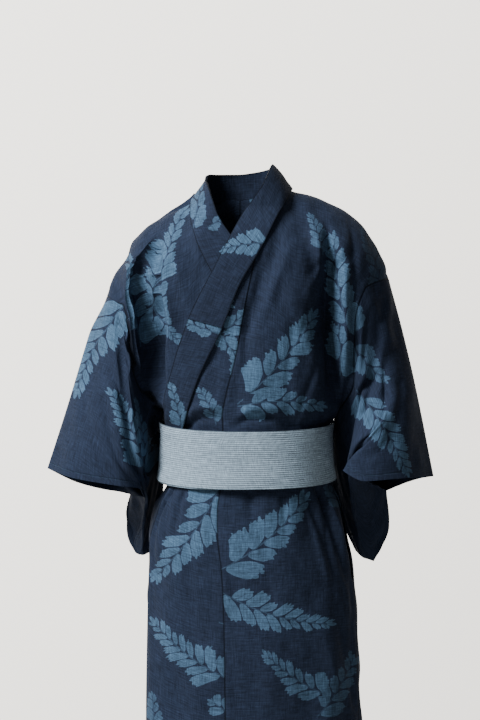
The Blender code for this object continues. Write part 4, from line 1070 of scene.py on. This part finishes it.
class Piece:
    """A cloth piece of the scene. cut is its flat size, how it is held and its area if tapered,
    and it is not used; edges are the distances to its nearer side edge and to its nearer end."""

    def __init__(self, name, sheet, material, replaces, slot, cut, uv, edges):
        self.name = name
        self.sheet = sheet
        self.material = material
        self.replaces = replaces
        self.slot = slot
        self.cut = cut
        self.uv = uv
        self.edges = edges


def placed_sprays(piece):
    """A piece's sprays out of the table, in metres in the photograph's plane."""
    table = []
    for names, base, tip, leaves, leaf, bend, strength in SPRAYS:
        if piece.name in names.split():
            stem = np.array((base, tip)) * PHOTO_SCALE
            table.append((*stem, leaves, leaf / 1000, bend / 1000, strength, True))
    return table


def scattered_sprays(piece, rng):
    """Sprays over the cloth that the photograph doesn't show, in metres on the cloth."""
    sheet = piece.sheet
    low_enough = pixel(sheet.points)[1] < FRAME_H + BELOW_FRAME
    shown = piece.uv[(sheet.normals[:, 1] < PHOTO_FACING) & low_enough]
    low, high = piece.uv.min(axis=0), piece.uv.max(axis=0)
    table, middles = [], []
    first = low + SCATTER_MARGIN
    for u in np.arange(first[0], high[0] + SCATTER_OVER, SCATTER_STEP * SCATTER_CLOSER):
        for v in np.arange(first[1], high[1], SCATTER_STEP):
            base = np.array([u, v]) + rng.uniform(-SCATTER_SHIFT, SCATTER_SHIFT, 2)
            lean = rng.uniform(0, 2 * math.pi)
            length = rng.uniform(*SCATTER_LENGTH)
            leaves, leaf = int(rng.integers(*SCATTER_LEAVES)), rng.uniform(*SCATTER_LEAF)
            bend, strength = rng.uniform(*SCATTER_BEND), rng.uniform(*SCATTER_STRENGTH)
            tip = base + length * np.array([math.cos(lean), math.sin(lean)])
            middle = (base + tip) / 2
            clear = np.hypot(*(shown - middle).T).min(initial=1) >= SCATTER_CLEAR
            if clear and all(np.hypot(*(other - middle)) >= SCATTER_APART for other in middles):
                middles.append(middle)
                table.append((base, tip, leaves, leaf, bend, strength, False))
    return table


def spray_map(piece, corners, table):
    """For each quad, its corners' places along and across the spray that it carries, and the
    numbers that draw it. A quad carries the spray that it lies deepest in."""
    sheet = piece.sheet
    photo = pair(*pixel(sheet.points)) * PHOTO_SCALE
    facing = sheet.normals[corners][:, :, 1].mean(axis=1) < PHOTO_FACING
    best = np.full(len(corners), 1.0)
    local = np.zeros((len(corners), 4, 2))
    size, look = np.zeros((len(corners), 3)), np.zeros((len(corners), 3))
    for index, (base, tip, leaves, leaf, bend, strength, placed) in enumerate(table):
        run = tip - base
        length = float(np.hypot(*run))
        turned = np.stack([run, (-run[1], run[0])], -1) / length
        places = ((photo if placed else piece.uv)[corners] - base) @ turned
        middle, side = places.mean(axis=1).T
        t = middle / length
        arch = bend * 4 * np.clip(t * (1 - t), 0, 1)
        half = leaf * np.interp(t, (0, 1), SPRAY_TAPER) + FADED_SPRAY
        past_end = np.abs(t - 0.5) * 2 * length / (length + 2.2 * leaf)
        beyond = np.maximum(past_end, np.abs(side - arch) / half)
        mine = (beyond < best) & (facing | (not placed))
        best[mine] = beyond[mine]
        local[mine] = places[mine]
        size[mine] = (length, leaf, leaves)
        look[mine] = (bend, strength, index + 0.37)
    return local, size, look


def build_piece(piece, rng):
    """A closed shell with cloth coordinates, a print map and its looks."""
    sheet = piece.sheet
    used, number = np.unique(sheet.quads, return_inverse=True)
    number = number.reshape(sheet.quads.shape)
    depths = (sheet.outer, sheet.outer - sheet.wall)
    walls = [(sheet.points + sheet.normals * depth[:, None])[used] for depth in depths]
    starts, ends = sheet.rim()
    lookup = np.full(len(sheet.points), -1)
    lookup[used] = np.arange(len(used))
    first, last = lookup[starts], lookup[ends]
    rim = np.stack([last, first, first + len(used), last + len(used)], -1)
    faces = np.concatenate([number, number[:, ::-1] + len(used), rim])
    mesh = bpy.data.meshes.new(piece.name + "_cloth")
    mesh.vertices.add(2 * len(used))
    mesh.vertices.foreach_set("co", np.concatenate(walls).astype(np.float32).ravel())
    mesh.loops.add(faces.size)
    mesh.loops.foreach_set("vertex_index", faces.astype(np.int32).ravel())
    mesh.polygons.add(len(faces))
    mesh.polygons.foreach_set("loop_start", np.arange(0, faces.size, 4, dtype=np.int32))
    mesh.update(calc_edges=True)
    rim_corners = np.stack([ends, starts, starts, ends], -1)
    corners = np.concatenate([sheet.grid_quads, sheet.grid_quads[:, ::-1], rim_corners])
    sprays = placed_sprays(piece) + scattered_sprays(piece, rng)
    local, size, look = spray_map(piece, corners, sprays)
    for name, values in (("cloth", piece.uv[corners]), ("edges", piece.edges[corners]), ("spray", local)):
        layer = mesh.uv_layers.new(name=name)
        layer.uv.foreach_set("vector", values.astype(np.float32).ravel())
    for name, values in (("spray_size", size), ("spray_look", look)):
        attribute = mesh.attributes.new(name, "FLOAT_VECTOR", "FACE")
        attribute.data.foreach_set("vector", values.astype(np.float32).ravel())
    mesh.validate()
    mesh.shade_smooth()
    mesh.set_sharp_from_angle(angle=math.radians(SHARP))
    mesh.materials.append(piece.material)
    built = bpy.data.objects.new(piece.name + "_cloth", mesh)
    bpy.context.collection.objects.link(built)
    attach(built, "root")
    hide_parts(*piece.replaces)


def body_piece(side, word, material):
    """Front and back of one side, in one piece over the shoulder, as they are cut. Also the
    armhole's front and back edges."""
    front, back = front_panel(side), back_panel(side)
    sheet = Sheet(np.concatenate([back[::-1], front[1:]]))
    shoulder = len(back) - 1
    points = sheet.grid(sheet.points)
    behind, ahead = points[: shoulder + 1], points[shoulder + 1 :]
    depth = np.concatenate([body_creases(behind, 1, True), body_creases(ahead, -1, True)])
    across, down = sheet.measure()
    depth += unevenness(across, down, BODY_SEED + side) * smooth(0, CALM_EDGE, to_sides(across))
    sheet.crease(depth, outward(sheet.points))
    creased = sheet.grid(sheet.points)
    armhole = creased[shoulder - len(UPPER) + 1 : shoulder + len(UPPER), -1]
    if side < 0:
        share = smooth(0, UNDER_BLEND, np.abs(creased[..., 0] - creased[:, :1, 0]))
        share[shoulder + 1 :] = 1
        sheet.outer = -UNDER * share.ravel()
    # the cloth is measured sideways from a line beside the middle; the right side's is creased
    beside = np.maximum.accumulate(side * (points if side > 0 else creased)[..., 0], axis=1)
    middle = [np.interp(UPRIGHT_X, row, way) for row, way in zip(beside, across)]
    uv = pair(across - np.array(middle)[:, None], np.repeat(down[:, 8:9], sheet.columns, 1))
    piece = Piece("body_" + word, sheet, material, ("front_" + word, "back_" + word), "navy_cotton",
                  ((0.285, 2.84), "draped", None), uv, pair(to_sides(across), to_ends(down)))
    return piece, armhole[len(UPPER) - 1 :], armhole[len(UPPER) - 1 :: -1]


def overlap_piece(side, word, material):
    """The overlap panel on a front's edge."""
    sheet = Sheet(overlap_panel(side))
    across, down = sheet.measure()
    depth = unevenness(across, down, OVERLAP_SEED + side) * smooth(0, CALM_EDGE, to_sides(across))
    depth += body_creases(sheet.grid(sheet.points), -1, False)
    sheet.crease(depth, outward(sheet.points))
    if side < 0:
        sheet.outer -= UNDER
    edges = pair(to_sides(across), down[-1:] - down)
    return Piece("overlap_" + word, sheet, material, ("overlap_" + word,), "navy_cotton",
                 ((0.155, 1.24), "draped", 0.160), pair(across, down), edges)


def edge_welds(rows, columns):
    """The sewn-up stretches at both ends of a sleeve: a front point and its back twin are one."""
    sewn = range(len(UPPER) - 1, columns // 2)
    starts = (0, (rows - 1) * columns)
    return [(start + column, start + columns - column) for start in starts for column in sewn]


def sleeve_piece(side, word, front, back, material):
    """A sleeve, from the armhole's front and back edges to the cuff."""
    tube, turns, stages = sleeve_tube(side, front, back)
    rows, columns = tube.shape[:2]
    centres = tube.mean(axis=1, keepdims=True)
    turn, stage = np.meshgrid(turns, stages)
    from_top = np.minimum(turn, 2 - turn)
    after_seam = smooth(0, FOLD_START, stage)
    folds = trough_depth(stage, turn, SLEEVE_FOLDS[side]) * after_seam
    tube = tube + unit(centres - tube) * folds[..., None]
    inside = np.repeat((centres[:-1] + centres[1:]) / 2, columns, 1).reshape(-1, 3)
    sheet = Sheet(tube, loop=True, welds=edge_welds(rows, columns), inside=inside)
    across, down = sheet.measure()
    depth = crease_depth(stage, turn, SLEEVE_CREASES[side], (SLEEVE_SCALE, SLEEVE_SCALE))
    in_front = smooth(0, SOFT_TURN, 1 - turn) * smooth(0, SOFT_TURN, turn)
    depth += pixel_crease_depth(sheet.grid(sheet.points), SLEEVE_FRONT_CREASES[side]) * in_front
    depth += unevenness(down, across, SLEEVE_SEED + side) * smooth(0, CALM_TURN, from_top)
    depth *= smooth(0, SOFT_TURN, np.abs(turn - 1)) * after_seam
    sheet.crease(depth * (1 - CUFF_CALM * smooth(0.93, 1, stage)))
    if side < 0:
        by_body = 1 - smooth(0, SLEEVE_STAGES[1], stage)
        open_part = 1 - smooth(OPEN_TURN, OPEN_TURN + SOFT_TURN, from_top)
        sheet.outer = -UNDER * (by_body * open_part).ravel()
    # the back is measured from the top fold too, so that the weave isn't sheared there
    round_back = across - across[:, -1:] + across[rows // 2, -1]
    uv = pair(down, np.where(turn > 1, round_back, across))
    return Piece("sleeve_" + word, sheet, material, ("sleeve_" + word,), "navy_cotton",
                 ((0.30, 0.62), "draped", None), uv, pair(np.minimum(down, 1), down[-1:] - down))


def band_piece(name, sheet, material, length):
    """A band of folded cotton, 55 mm wide."""
    across, down = sheet.measure()
    middle = down.shape[1] // 2
    uv = pair(across, np.repeat(down[:, middle : middle + 1], down.shape[1], 1))
    return Piece(name, sheet, material, (name,), "collar_cotton", ((0.055, length), "folded", None),
                 uv, pair(to_sides(across), to_ends(down)))


def collar_pieces(material):
    """The collar band and the shorter cover over its upper part."""
    band, under, place = collar_sheet()
    sheet = Sheet(band)
    down = sheet.measure()[1]
    share = np.linspace(0, 1, COLLAR_COLUMNS)
    rounding = 0.0009 * np.abs(2 * share - 1) ** 6
    middle = COLLAR_COLUMNS // 2
    puff = 0.0003 * np.sin(down[:, middle : middle + 1] * 95) * np.sin(math.pi * share)
    sheet.wall = BAND_WALL
    sheet.outer = (under[:, None] + COLLAR_LIFT + COLLAR_WALL - rounding + puff).ravel()
    kept = place <= COVER_STATIONS
    cover = Sheet(band[kept])
    cover.normals = sheet.grid(sheet.normals)[kept].reshape(-1, 3)
    cover.wall = COVER_WALL
    cover.outer = sheet.grid(sheet.outer)[kept].ravel() + COVER_LIFT + COVER_WALL
    return [
        band_piece("collar", sheet, material, 1.80),
        band_piece("collar_cover", cover, material, 0.95),
    ]


def belt_point(turn, up):
    """A point on the body under the obi: turn from 0 behind over 1 in front to 2, up from
    -0.5 at the lower edge to 0.5 at the upper one."""
    side, share = (1, turn) if turn <= 1 else (-1, 2 - turn)
    point = ring(OBI_Z, side, np.array([share]))[0]
    for _ in range(2):
        z = OBI_Z + OBI_TILT * point[1] + up * OBI_HEIGHT
        point = ring(z, side, np.array([share]))[0]
    return point


def obi_pieces(material):
    """The two windings of the obi."""
    made = []
    turns = np.arange(OBI_COLUMNS) / OBI_COLUMNS * 2
    ups = np.linspace(0.5, -0.5, OBI_ROWS)
    coarse = np.linspace(0.5, -0.5, OBI_FORM_ROWS)
    knots = np.array([[belt_point(turn, up) for turn in turns] for up in coarse])
    form = spline(-coarse, knots, -ups)
    around, height = np.meshgrid(turns, ups)
    wave = 0.0010 * np.sin(around * 9 + height * 2.2 + 0.6) + 0.0007 * np.sin(around * 23 - height * 3.1)
    rounding = 0.0005 * np.abs(2 * height) ** 8
    for name, lift in OBI_LIFTS.items():
        rows = form.copy()
        if name == "obi_inner_wrap":
            rows[..., 2] -= OBI_INNER_DROP * smooth(0.05, -0.12, rows[..., 0])
        belt = Sheet(rows, loop=True)
        belt.level()
        belt.wall = OBI_WALL
        belt.outer = lift + OBI_WALL + ((wave - rounding) * OBI_WAVES[name]).ravel()
        across, down = belt.measure()
        edges = pair(np.full(down.shape, 0.05), to_ends(down))  # a ring has no side edges
        made.append(Piece(name, belt, material, (name,), "obi_weave", ((0.095, 0.90), "folded", None),
                          pair(across, down), edges))
    return made


def body_back(x, z):
    """Depth of the back of the body at x, at one height."""
    centre, half, _, back, square = form_at(z)
    share = np.clip(np.abs(x - centre) / half, 0, 1)
    return back * (1 - share**square) ** (1 / square)


def knot_pieces(material):
    """The obi's knot and its two flat ends."""
    made = []
    across, up = np.meshgrid(np.linspace(-1, 1, KNOT_COLUMNS), np.linspace(1, -1, KNOT_ROWS))
    bow = 0.0014 * np.cos(across * 2.2 + 0.4) + 0.0010 * np.sin(up * 2.6 + across)
    bow *= 1 - np.abs(across) ** 6
    for name, (x, z, half_width, half_length, degrees, root, tip) in KNOT_PIECES.items():
        cos, sin = math.cos(math.radians(degrees)), math.sin(math.radians(degrees))
        s, t = across * half_width, up * half_length
        px = x + s * cos - t * sin
        sheet = Sheet(np.stack([px, body_back(px, KNOT_Z), z + s * sin + t * cos], -1))
        sheet.level()
        sheet.wall = KNOT_WALL
        sheet.outer = (root + (tip - root) * (up + 1) / 2 + bow).ravel() + KNOT_WALL
        u, v = sheet.measure()
        cut = ((2 * half_width, 2 * half_length), "folded", None)
        made.append(Piece(name, sheet, material, (name,), "obi_weave", cut, pair(v, u),
                          pair(to_sides(u), to_ends(v))))
    return made


def node_sum(operation, turned=False):
    """How a sign between two values becomes a node. turned is for a number before the value."""
    def act(first, second=None):
        values = (first,) if second is None else (second, first) if turned else (first, second)
        return first.graph.math(operation, *values)
    return act


class Value:
    """A number in a node graph, on which sums are written with the usual signs."""

    def __init__(self, graph, socket):
        self.graph = graph
        self.socket = socket

    __add__ = node_sum("ADD")
    __radd__ = node_sum("ADD", True)
    __sub__ = node_sum("SUBTRACT")
    __rsub__ = node_sum("SUBTRACT", True)
    __mul__ = node_sum("MULTIPLY")
    __truediv__ = node_sum("DIVIDE")
    __pow__ = node_sum("POWER")
    __gt__ = node_sum("GREATER_THAN")
    __lt__ = node_sum("LESS_THAN")
    __abs__ = node_sum("ABSOLUTE")


class Graph:
    """Short calls for building a material's nodes."""

    def __init__(self, tree):
        self.tree = tree

    def put(self, socket, value):
        """Link a value to a socket, or set a number on it."""
        value = getattr(value, "socket", value)
        if isinstance(value, bpy.types.NodeSocket):
            self.tree.links.new(value, socket)
        else:
            socket.default_value = value

    def node(self, kind, inputs=(), **settings):
        """A node with its first inputs filled in, or those that a dictionary names."""
        node = self.tree.nodes.new(kind)
        for name, setting in settings.items():
            setattr(node, name, setting)
        named = inputs.items() if isinstance(inputs, dict) else enumerate(inputs)
        for key, value in named:
            self.put(node.inputs[key], value)
        return node

    def value(self, node, output=0):
        return Value(self, node.outputs[output])

    def math(self, operation, *values, clamp=False):
        return self.value(self.node("ShaderNodeMath", values, operation=operation, use_clamp=clamp))

    def noise(self, vector, scale=1.0, detail=2.0, roughness=0.5):
        inputs = {"Vector": vector, "Scale": scale, "Detail": detail, "Roughness": roughness}
        return self.value(self.node("ShaderNodeTexNoise", inputs))

    def cloth_noise(self, u_scale, v_scale, detail=2.0, roughness=0.5):
        """Noise on the cloth, with so many grains to a metre along u and v."""
        cloth = self.node("ShaderNodeUVMap", uv_map="cloth").outputs[0]
        scales = (u_scale, v_scale, 1)
        stretched = self.node("ShaderNodeVectorMath", (cloth, scales), operation="MULTIPLY")
        return self.noise(stretched.outputs[0], 1.0, detail, roughness)

    def span(self, value, low, high, to_low=0.0, to_high=1.0):
        """A value carried from one range to another, and held at its ends."""
        return self.value(self.node("ShaderNodeMapRange", (value, low, high, to_low, to_high)))

    def soft(self, value, low, high):
        """A soft step from 0 at low to 1 at high."""
        inputs = (value, low, high, 0.0, 1.0)
        return self.value(self.node("ShaderNodeMapRange", inputs, interpolation_type="SMOOTHSTEP"))

    def mix(self, share, first, second, blend="MIX"):
        inputs = {0: share, 6: first, 7: second}
        return self.node("ShaderNodeMix", inputs, data_type="RGBA", blend_type=blend).outputs[2]

    def shaded(self, colour, shade):
        """A colour made lighter or darker by a value."""
        grey = self.node("ShaderNodeCombineColor", (shade, shade, shade)).outputs[0]
        return self.mix(1.0, colour, grey, "MULTIPLY")

    def vector(self, *values):
        return self.node("ShaderNodeCombineXYZ", values).outputs[0]

    def parts(self, vector):
        node = self.node("ShaderNodeSeparateXYZ", (vector,))
        return [self.value(node, output) for output in range(3)]

    def uv(self, name):
        return self.parts(self.node("ShaderNodeUVMap", uv_map=name).outputs[0])[:2]

    def attribute(self, name):
        return self.parts(self.node("ShaderNodeAttribute", attribute_name=name).outputs["Vector"])

    def bumps(self, *heights):
        """A normal with several layers of height, given with how far each stands out."""
        normal = None
        for height, distance in heights:
            inputs = {"Strength": 1.0, "Distance": distance, "Height": height}
            if normal is not None:
                inputs["Normal"] = normal
            normal = self.node("ShaderNodeBump", inputs).outputs[0]
        return normal


def leaf_mask(g):
    """Share of print at each point: a bent stem with slanted leaf pairs, large near its base
    and small near its tip."""
    along, across = g.uv("spray")
    length, leaf, leaves = g.attribute("spray_size")
    bend, strength, seed = g.attribute("spray_look")
    length = g.math("MAXIMUM", length, 0.01)
    t = along / length
    side = across - bend * 4.0 * (t * (1.0 - t))
    cloth = g.node("ShaderNodeUVMap", uv_map="cloth").outputs[0]
    wobble = g.noise(cloth, 130.0, 3, 0.65) - 0.5
    away, sign = abs(side), g.math("SIGN", side)
    # where a leaf through this point has its root, as a share of the stem
    curl = away * away / g.math("MAXIMUM", leaf, 0.005)
    share = (along - away * LEAF_SLANT + curl * LEAF_CURL) / length
    # the leaves stand closer and closer towards the tip; a cell is one leaf's room on the stem
    close = share * (share * 0.4 + 0.6)
    place = leaves * close + sign * LEAF_STAGGER
    crowd = g.math("MAXIMUM", share, 0.0) * 0.8 + 0.6
    cell = length / (g.math("MAXIMUM", leaves, 1.0) * crowd)
    number = g.math("FLOOR", place)
    lot = g.node("ShaderNodeTexWhiteNoise", {"Vector": g.vector(number, sign, seed)})
    luck = g.value(lot, "Value")
    broad, shift, _ = g.parts(lot.outputs["Color"])
    offset = g.math("FRACT", place) - 0.5 + g.span(shift, 0.0, 1.0, -0.06, 0.06)
    middle = abs(offset) * cell
    # how far out on the leaf the point is, with a frayed edge
    reach = leaf * g.span(share, 0.0, 1.0, 1.32, 0.30) * g.span(luck, 0.0, 1.0, 0.72, 1.10)
    out = away / reach
    frayed = g.math("SINE", offset * 22.0 + luck * 6.0) * 0.055 + wobble * 0.50
    out = out + frayed * out
    belly = abs((out - LEAF_BELLY) / LEAF_BELLY) ** 2.1
    profile = g.math("MAXIMUM", 1.0 - belly, 0.0) ** 0.50
    half = cell * 0.56 * profile * g.span(broad, 0.0, 1.0, 0.78, 1.08)
    gap = g.math("MINIMUM", half, cell * 0.5) - middle - (abs(wobble) * 0.0020 + 0.0004)
    body = g.soft(gap, 0.0, PRINT_BLUR) * (out < 1.0) * g.soft(away, 0.0004, 0.0013)
    row = (number > -0.5) * (share < 0.99) * (share > -0.5)
    vein = g.math("MAXIMUM", g.soft(middle, 0.0002, 0.0010), g.span(luck, 0.3, 0.5, 0.15, 0.75))
    vein = g.math("MAXIMUM", vein, out > 0.70)
    blades = body * row * g.span(vein, 0.0, 1.0, 0.45, 1.0)
    # the leaf at the very tip, and the stem
    end = (along - (length + leaf * 0.10)) / (leaf * 0.30)
    wide = side / (leaf * 0.12)
    tip = g.soft(1.0 - (end * end + wide * wide), 0.0, 0.3)
    stem = g.soft(abs(away - 0.0006), 0.0006, 0.0001) * 0.65 * ((t > -0.03) * (t < 1.0))
    shape = g.math("MAXIMUM", g.math("MAXIMUM", blades, tip), stem)
    streak = g.noise(g.vector(offset * 9.0, away * 45.0, number), 1.0, 2, 0.6)
    shape = shape * g.span(streak, 0.3, 0.7, 0.78, 1.04) * strength
    return shape * g.span(luck, 0.0, 1.0, 0.84, 1.0)


def new_material(name, roughness, sheen, tint):
    material = bpy.data.materials.new(name)
    material.use_nodes = True
    shader = material.node_tree.nodes["Principled BSDF"]
    shader.inputs["Roughness"].default_value = roughness
    shader.inputs["Specular IOR Level"].default_value = 0.10
    shader.inputs["Sheen Weight"].default_value = sheen
    shader.inputs["Sheen Roughness"].default_value = 0.5
    shader.inputs["Sheen Tint"].default_value = tint
    return material, shader, Graph(material.node_tree)


def cotton_material(name, base, stitch):
    """Dyed cotton with slubs, a leaf print and stitches at a distance from its ends, and painted shade
    along its seams, edges and stitch lines.
    """
    material, shader, g = new_material(name, 0.95, 0.015, COTTON_SHEEN)
    weft = g.cloth_noise(45, 460, roughness=0.6)
    warp = g.cloth_noise(500, 38, roughness=0.6)
    slub = g.soft(g.cloth_noise(28, 420, detail=1), 0.60, 0.74)
    patch = g.cloth_noise(9, 7, detail=3)
    worn = g.span(g.cloth_noise(500, 500), 0.25, 0.75, 0.72, 1.08)
    printed = g.math("MULTIPLY", leaf_mask(g), worn, clamp=True)
    beside_seam, beside_end = g.uv("edges")
    line = abs(beside_end - stitch)
    groove = g.soft(line, 0.0, 0.0022)
    dash = g.math("FRACT", g.uv("cloth")[0] * 240.0) > 0.35
    thread = g.soft(line, 0.0011, 0.0004) * dash
    shade = g.span(weft, 0.28, 0.72, 0.62, 1.38) * g.span(warp, 0.28, 0.72, 0.70, 1.30)
    shade = shade * g.span(patch, 0.3, 0.7, 0.93, 1.07) + slub * 0.16
    # painted shade: the colour falls to a third within about 2 mm of each seam and panel edge, standing
    # in for the shadow in seam valleys and under overlapping edges
    shade = shade * g.span(g.soft(beside_seam, 0.0006, 0.0023), 0.0, 1.0, 0.34, 1.0)
    # painted shade: the colour darkens by a fifth along the stitch line for the shade in its groove; the
    # groove's bump further down is real relief
    shade = shade * g.span(groove, 0.0, 1.0, 0.80, 1.0)
    colour = g.shaded(g.mix(printed, base, NAVY_PRINT), shade)
    g.put(shader.inputs["Base Color"], g.mix(thread * 0.12, colour, NAVY_PRINT))
    weave = weft * 0.6 + warp * 0.4 + slub * 0.5
    rumple = g.cloth_noise(42, 30, detail=3, roughness=0.55)
    g.put(shader.inputs["Normal"], g.bumps((weave, 0.00035), (rumple, 0.0022), (groove, 0.0006)))
    g.put(shader.inputs["Roughness"], g.span(weft, 0.2, 0.8, 0.84, 0.96))
    return material


def weave_material(name):
    """The obi's matt weave, with fine ribs along it."""
    material, shader, g = new_material(name, 0.85, 0.04, OBI_SHEEN)
    height = g.uv("cloth")[1] + g.cloth_noise(14, 60) * 0.0026
    rib = g.math("SINE", height * (2 * math.pi / RIB)) * 0.5 + 0.5
    fine = g.cloth_noise(45, 620, roughness=0.6)
    cross = g.cloth_noise(520, 90)
    band = g.cloth_noise(4, 170)
    shade = g.span(rib, 0.0, 1.0, 0.91, 1.05) * g.span(fine, 0.28, 0.72, 0.72, 1.28)
    shade = shade * g.span(cross, 0.28, 0.72, 0.72, 1.28) * g.span(band, 0.3, 0.7, 0.94, 1.06)
    shade = shade * g.span(g.soft(g.uv("edges")[1], 0.0003, 0.0018), 0.0, 1.0, 0.72, 1.0)
    g.put(shader.inputs["Base Color"], g.shaded(OBI_COLOUR, shade))
    lumps = g.cloth_noise(16, 30)
    g.put(shader.inputs["Normal"], g.bumps((rib, 0.0007), (fine, 0.0004), (lumps, 0.0016)))
    return material


def placed(name, data, place=(0, 0, 0)):
    """A new object in the scene."""
    thing = bpy.data.objects.new(name, data)
    bpy.context.collection.objects.link(thing)
    thing.location = place
    return thing


def build_world():
    """A dim room with a bright wall behind the robe, lighter to the left and upwards."""
    world = bpy.data.worlds.new("studio")
    bpy.context.scene.world = world
    world.use_nodes = True
    shade = world.node_tree.nodes["Background"]
    shade.inputs["Color"].default_value = BACKGROUND
    g = Graph(world.node_tree)
    x, y, z = g.parts(g.node("ShaderNodeTexCoord").outputs["Generated"])
    behind = g.soft(y, 0.15, 0.90) * g.soft(z, 0.80, 0.30)
    light = g.span(behind, 0.0, 1.0, 0.31, 3.1) * (1.0 - x * 0.62) * (z * 0.55 + 1.0)
    g.put(shade.inputs["Strength"], light)


def build_floor():
    mesh = bpy.data.meshes.new("floor")
    turns = ((-1, -1), (1, -1), (1, 1), (-1, 1))
    corners = [(x * FLOOR_REACH, y * FLOOR_REACH, FLOOR_Z) for x, y in turns]
    mesh.from_pydata(corners, [], [(0, 1, 2, 3)])
    material = bpy.data.materials.new("floor_paint")
    material.use_nodes = True
    shader = material.node_tree.nodes["Principled BSDF"]
    shader.inputs["Base Color"].default_value = FLOOR_COLOUR
    shader.inputs["Roughness"].default_value = 0.9
    mesh.materials.append(material)
    floor = placed("floor", mesh)


def build_light():
    """One large key light, high on the photograph's left."""
    data = bpy.data.lights.new("key", "AREA")
    data.shape = "RECTANGLE"
    data.size = data.size_y = LIGHT_SIZE
    data.energy = LIGHT_POWER
    data.color = LIGHT_COLOUR
    x, y, z = (target - place for target, place in zip(LIGHT_TARGET, LIGHT_PLACE))
    lamp = placed("key", data, LIGHT_PLACE)
    lamp.rotation_euler = (math.atan2(math.hypot(x, y), -z), 0, math.atan2(y, x) - math.pi / 2)


def build_camera():
    data = bpy.data.cameras.new("camera")
    data.sensor_width = SENSOR
    data.lens = FOCAL / FRAME_H * SENSOR
    data.clip_end = 50
    camera = placed("camera", data, (0, CAMERA_Y, CAMERA_Z))
    camera.rotation_euler = (math.pi / 2, 0, 0)
    bpy.context.scene.camera = camera


def main():
    cotton = cotton_material("cotton_long", NAVY, STITCH["hem"])
    sleeve_cotton = cotton_material("cotton_sleeve", NAVY, STITCH["cuff"])
    collar_cotton = cotton_material("cotton_collar", COLLAR_NAVY, STITCH["collar"])
    weave = weave_material("obi_weave_look")
    pieces = []
    for side, word in ((1, "left"), (-1, "right")):
        body, front_edge, back_edge = body_piece(side, word, cotton)
        pieces.append(body)
        pieces.append(overlap_piece(side, word, cotton))
        pieces.append(sleeve_piece(side, word, front_edge, back_edge, sleeve_cotton))
    close_seams([piece.sheet for piece in pieces])
    pieces += collar_pieces(collar_cotton)
    pieces += obi_pieces(weave)
    pieces += knot_pieces(weave)
    rng = np.random.default_rng(PRINT_SEED)
    for piece in pieces:
        build_piece(piece, rng)
    build_world()
    build_floor()
    build_light()
    build_camera()


main()
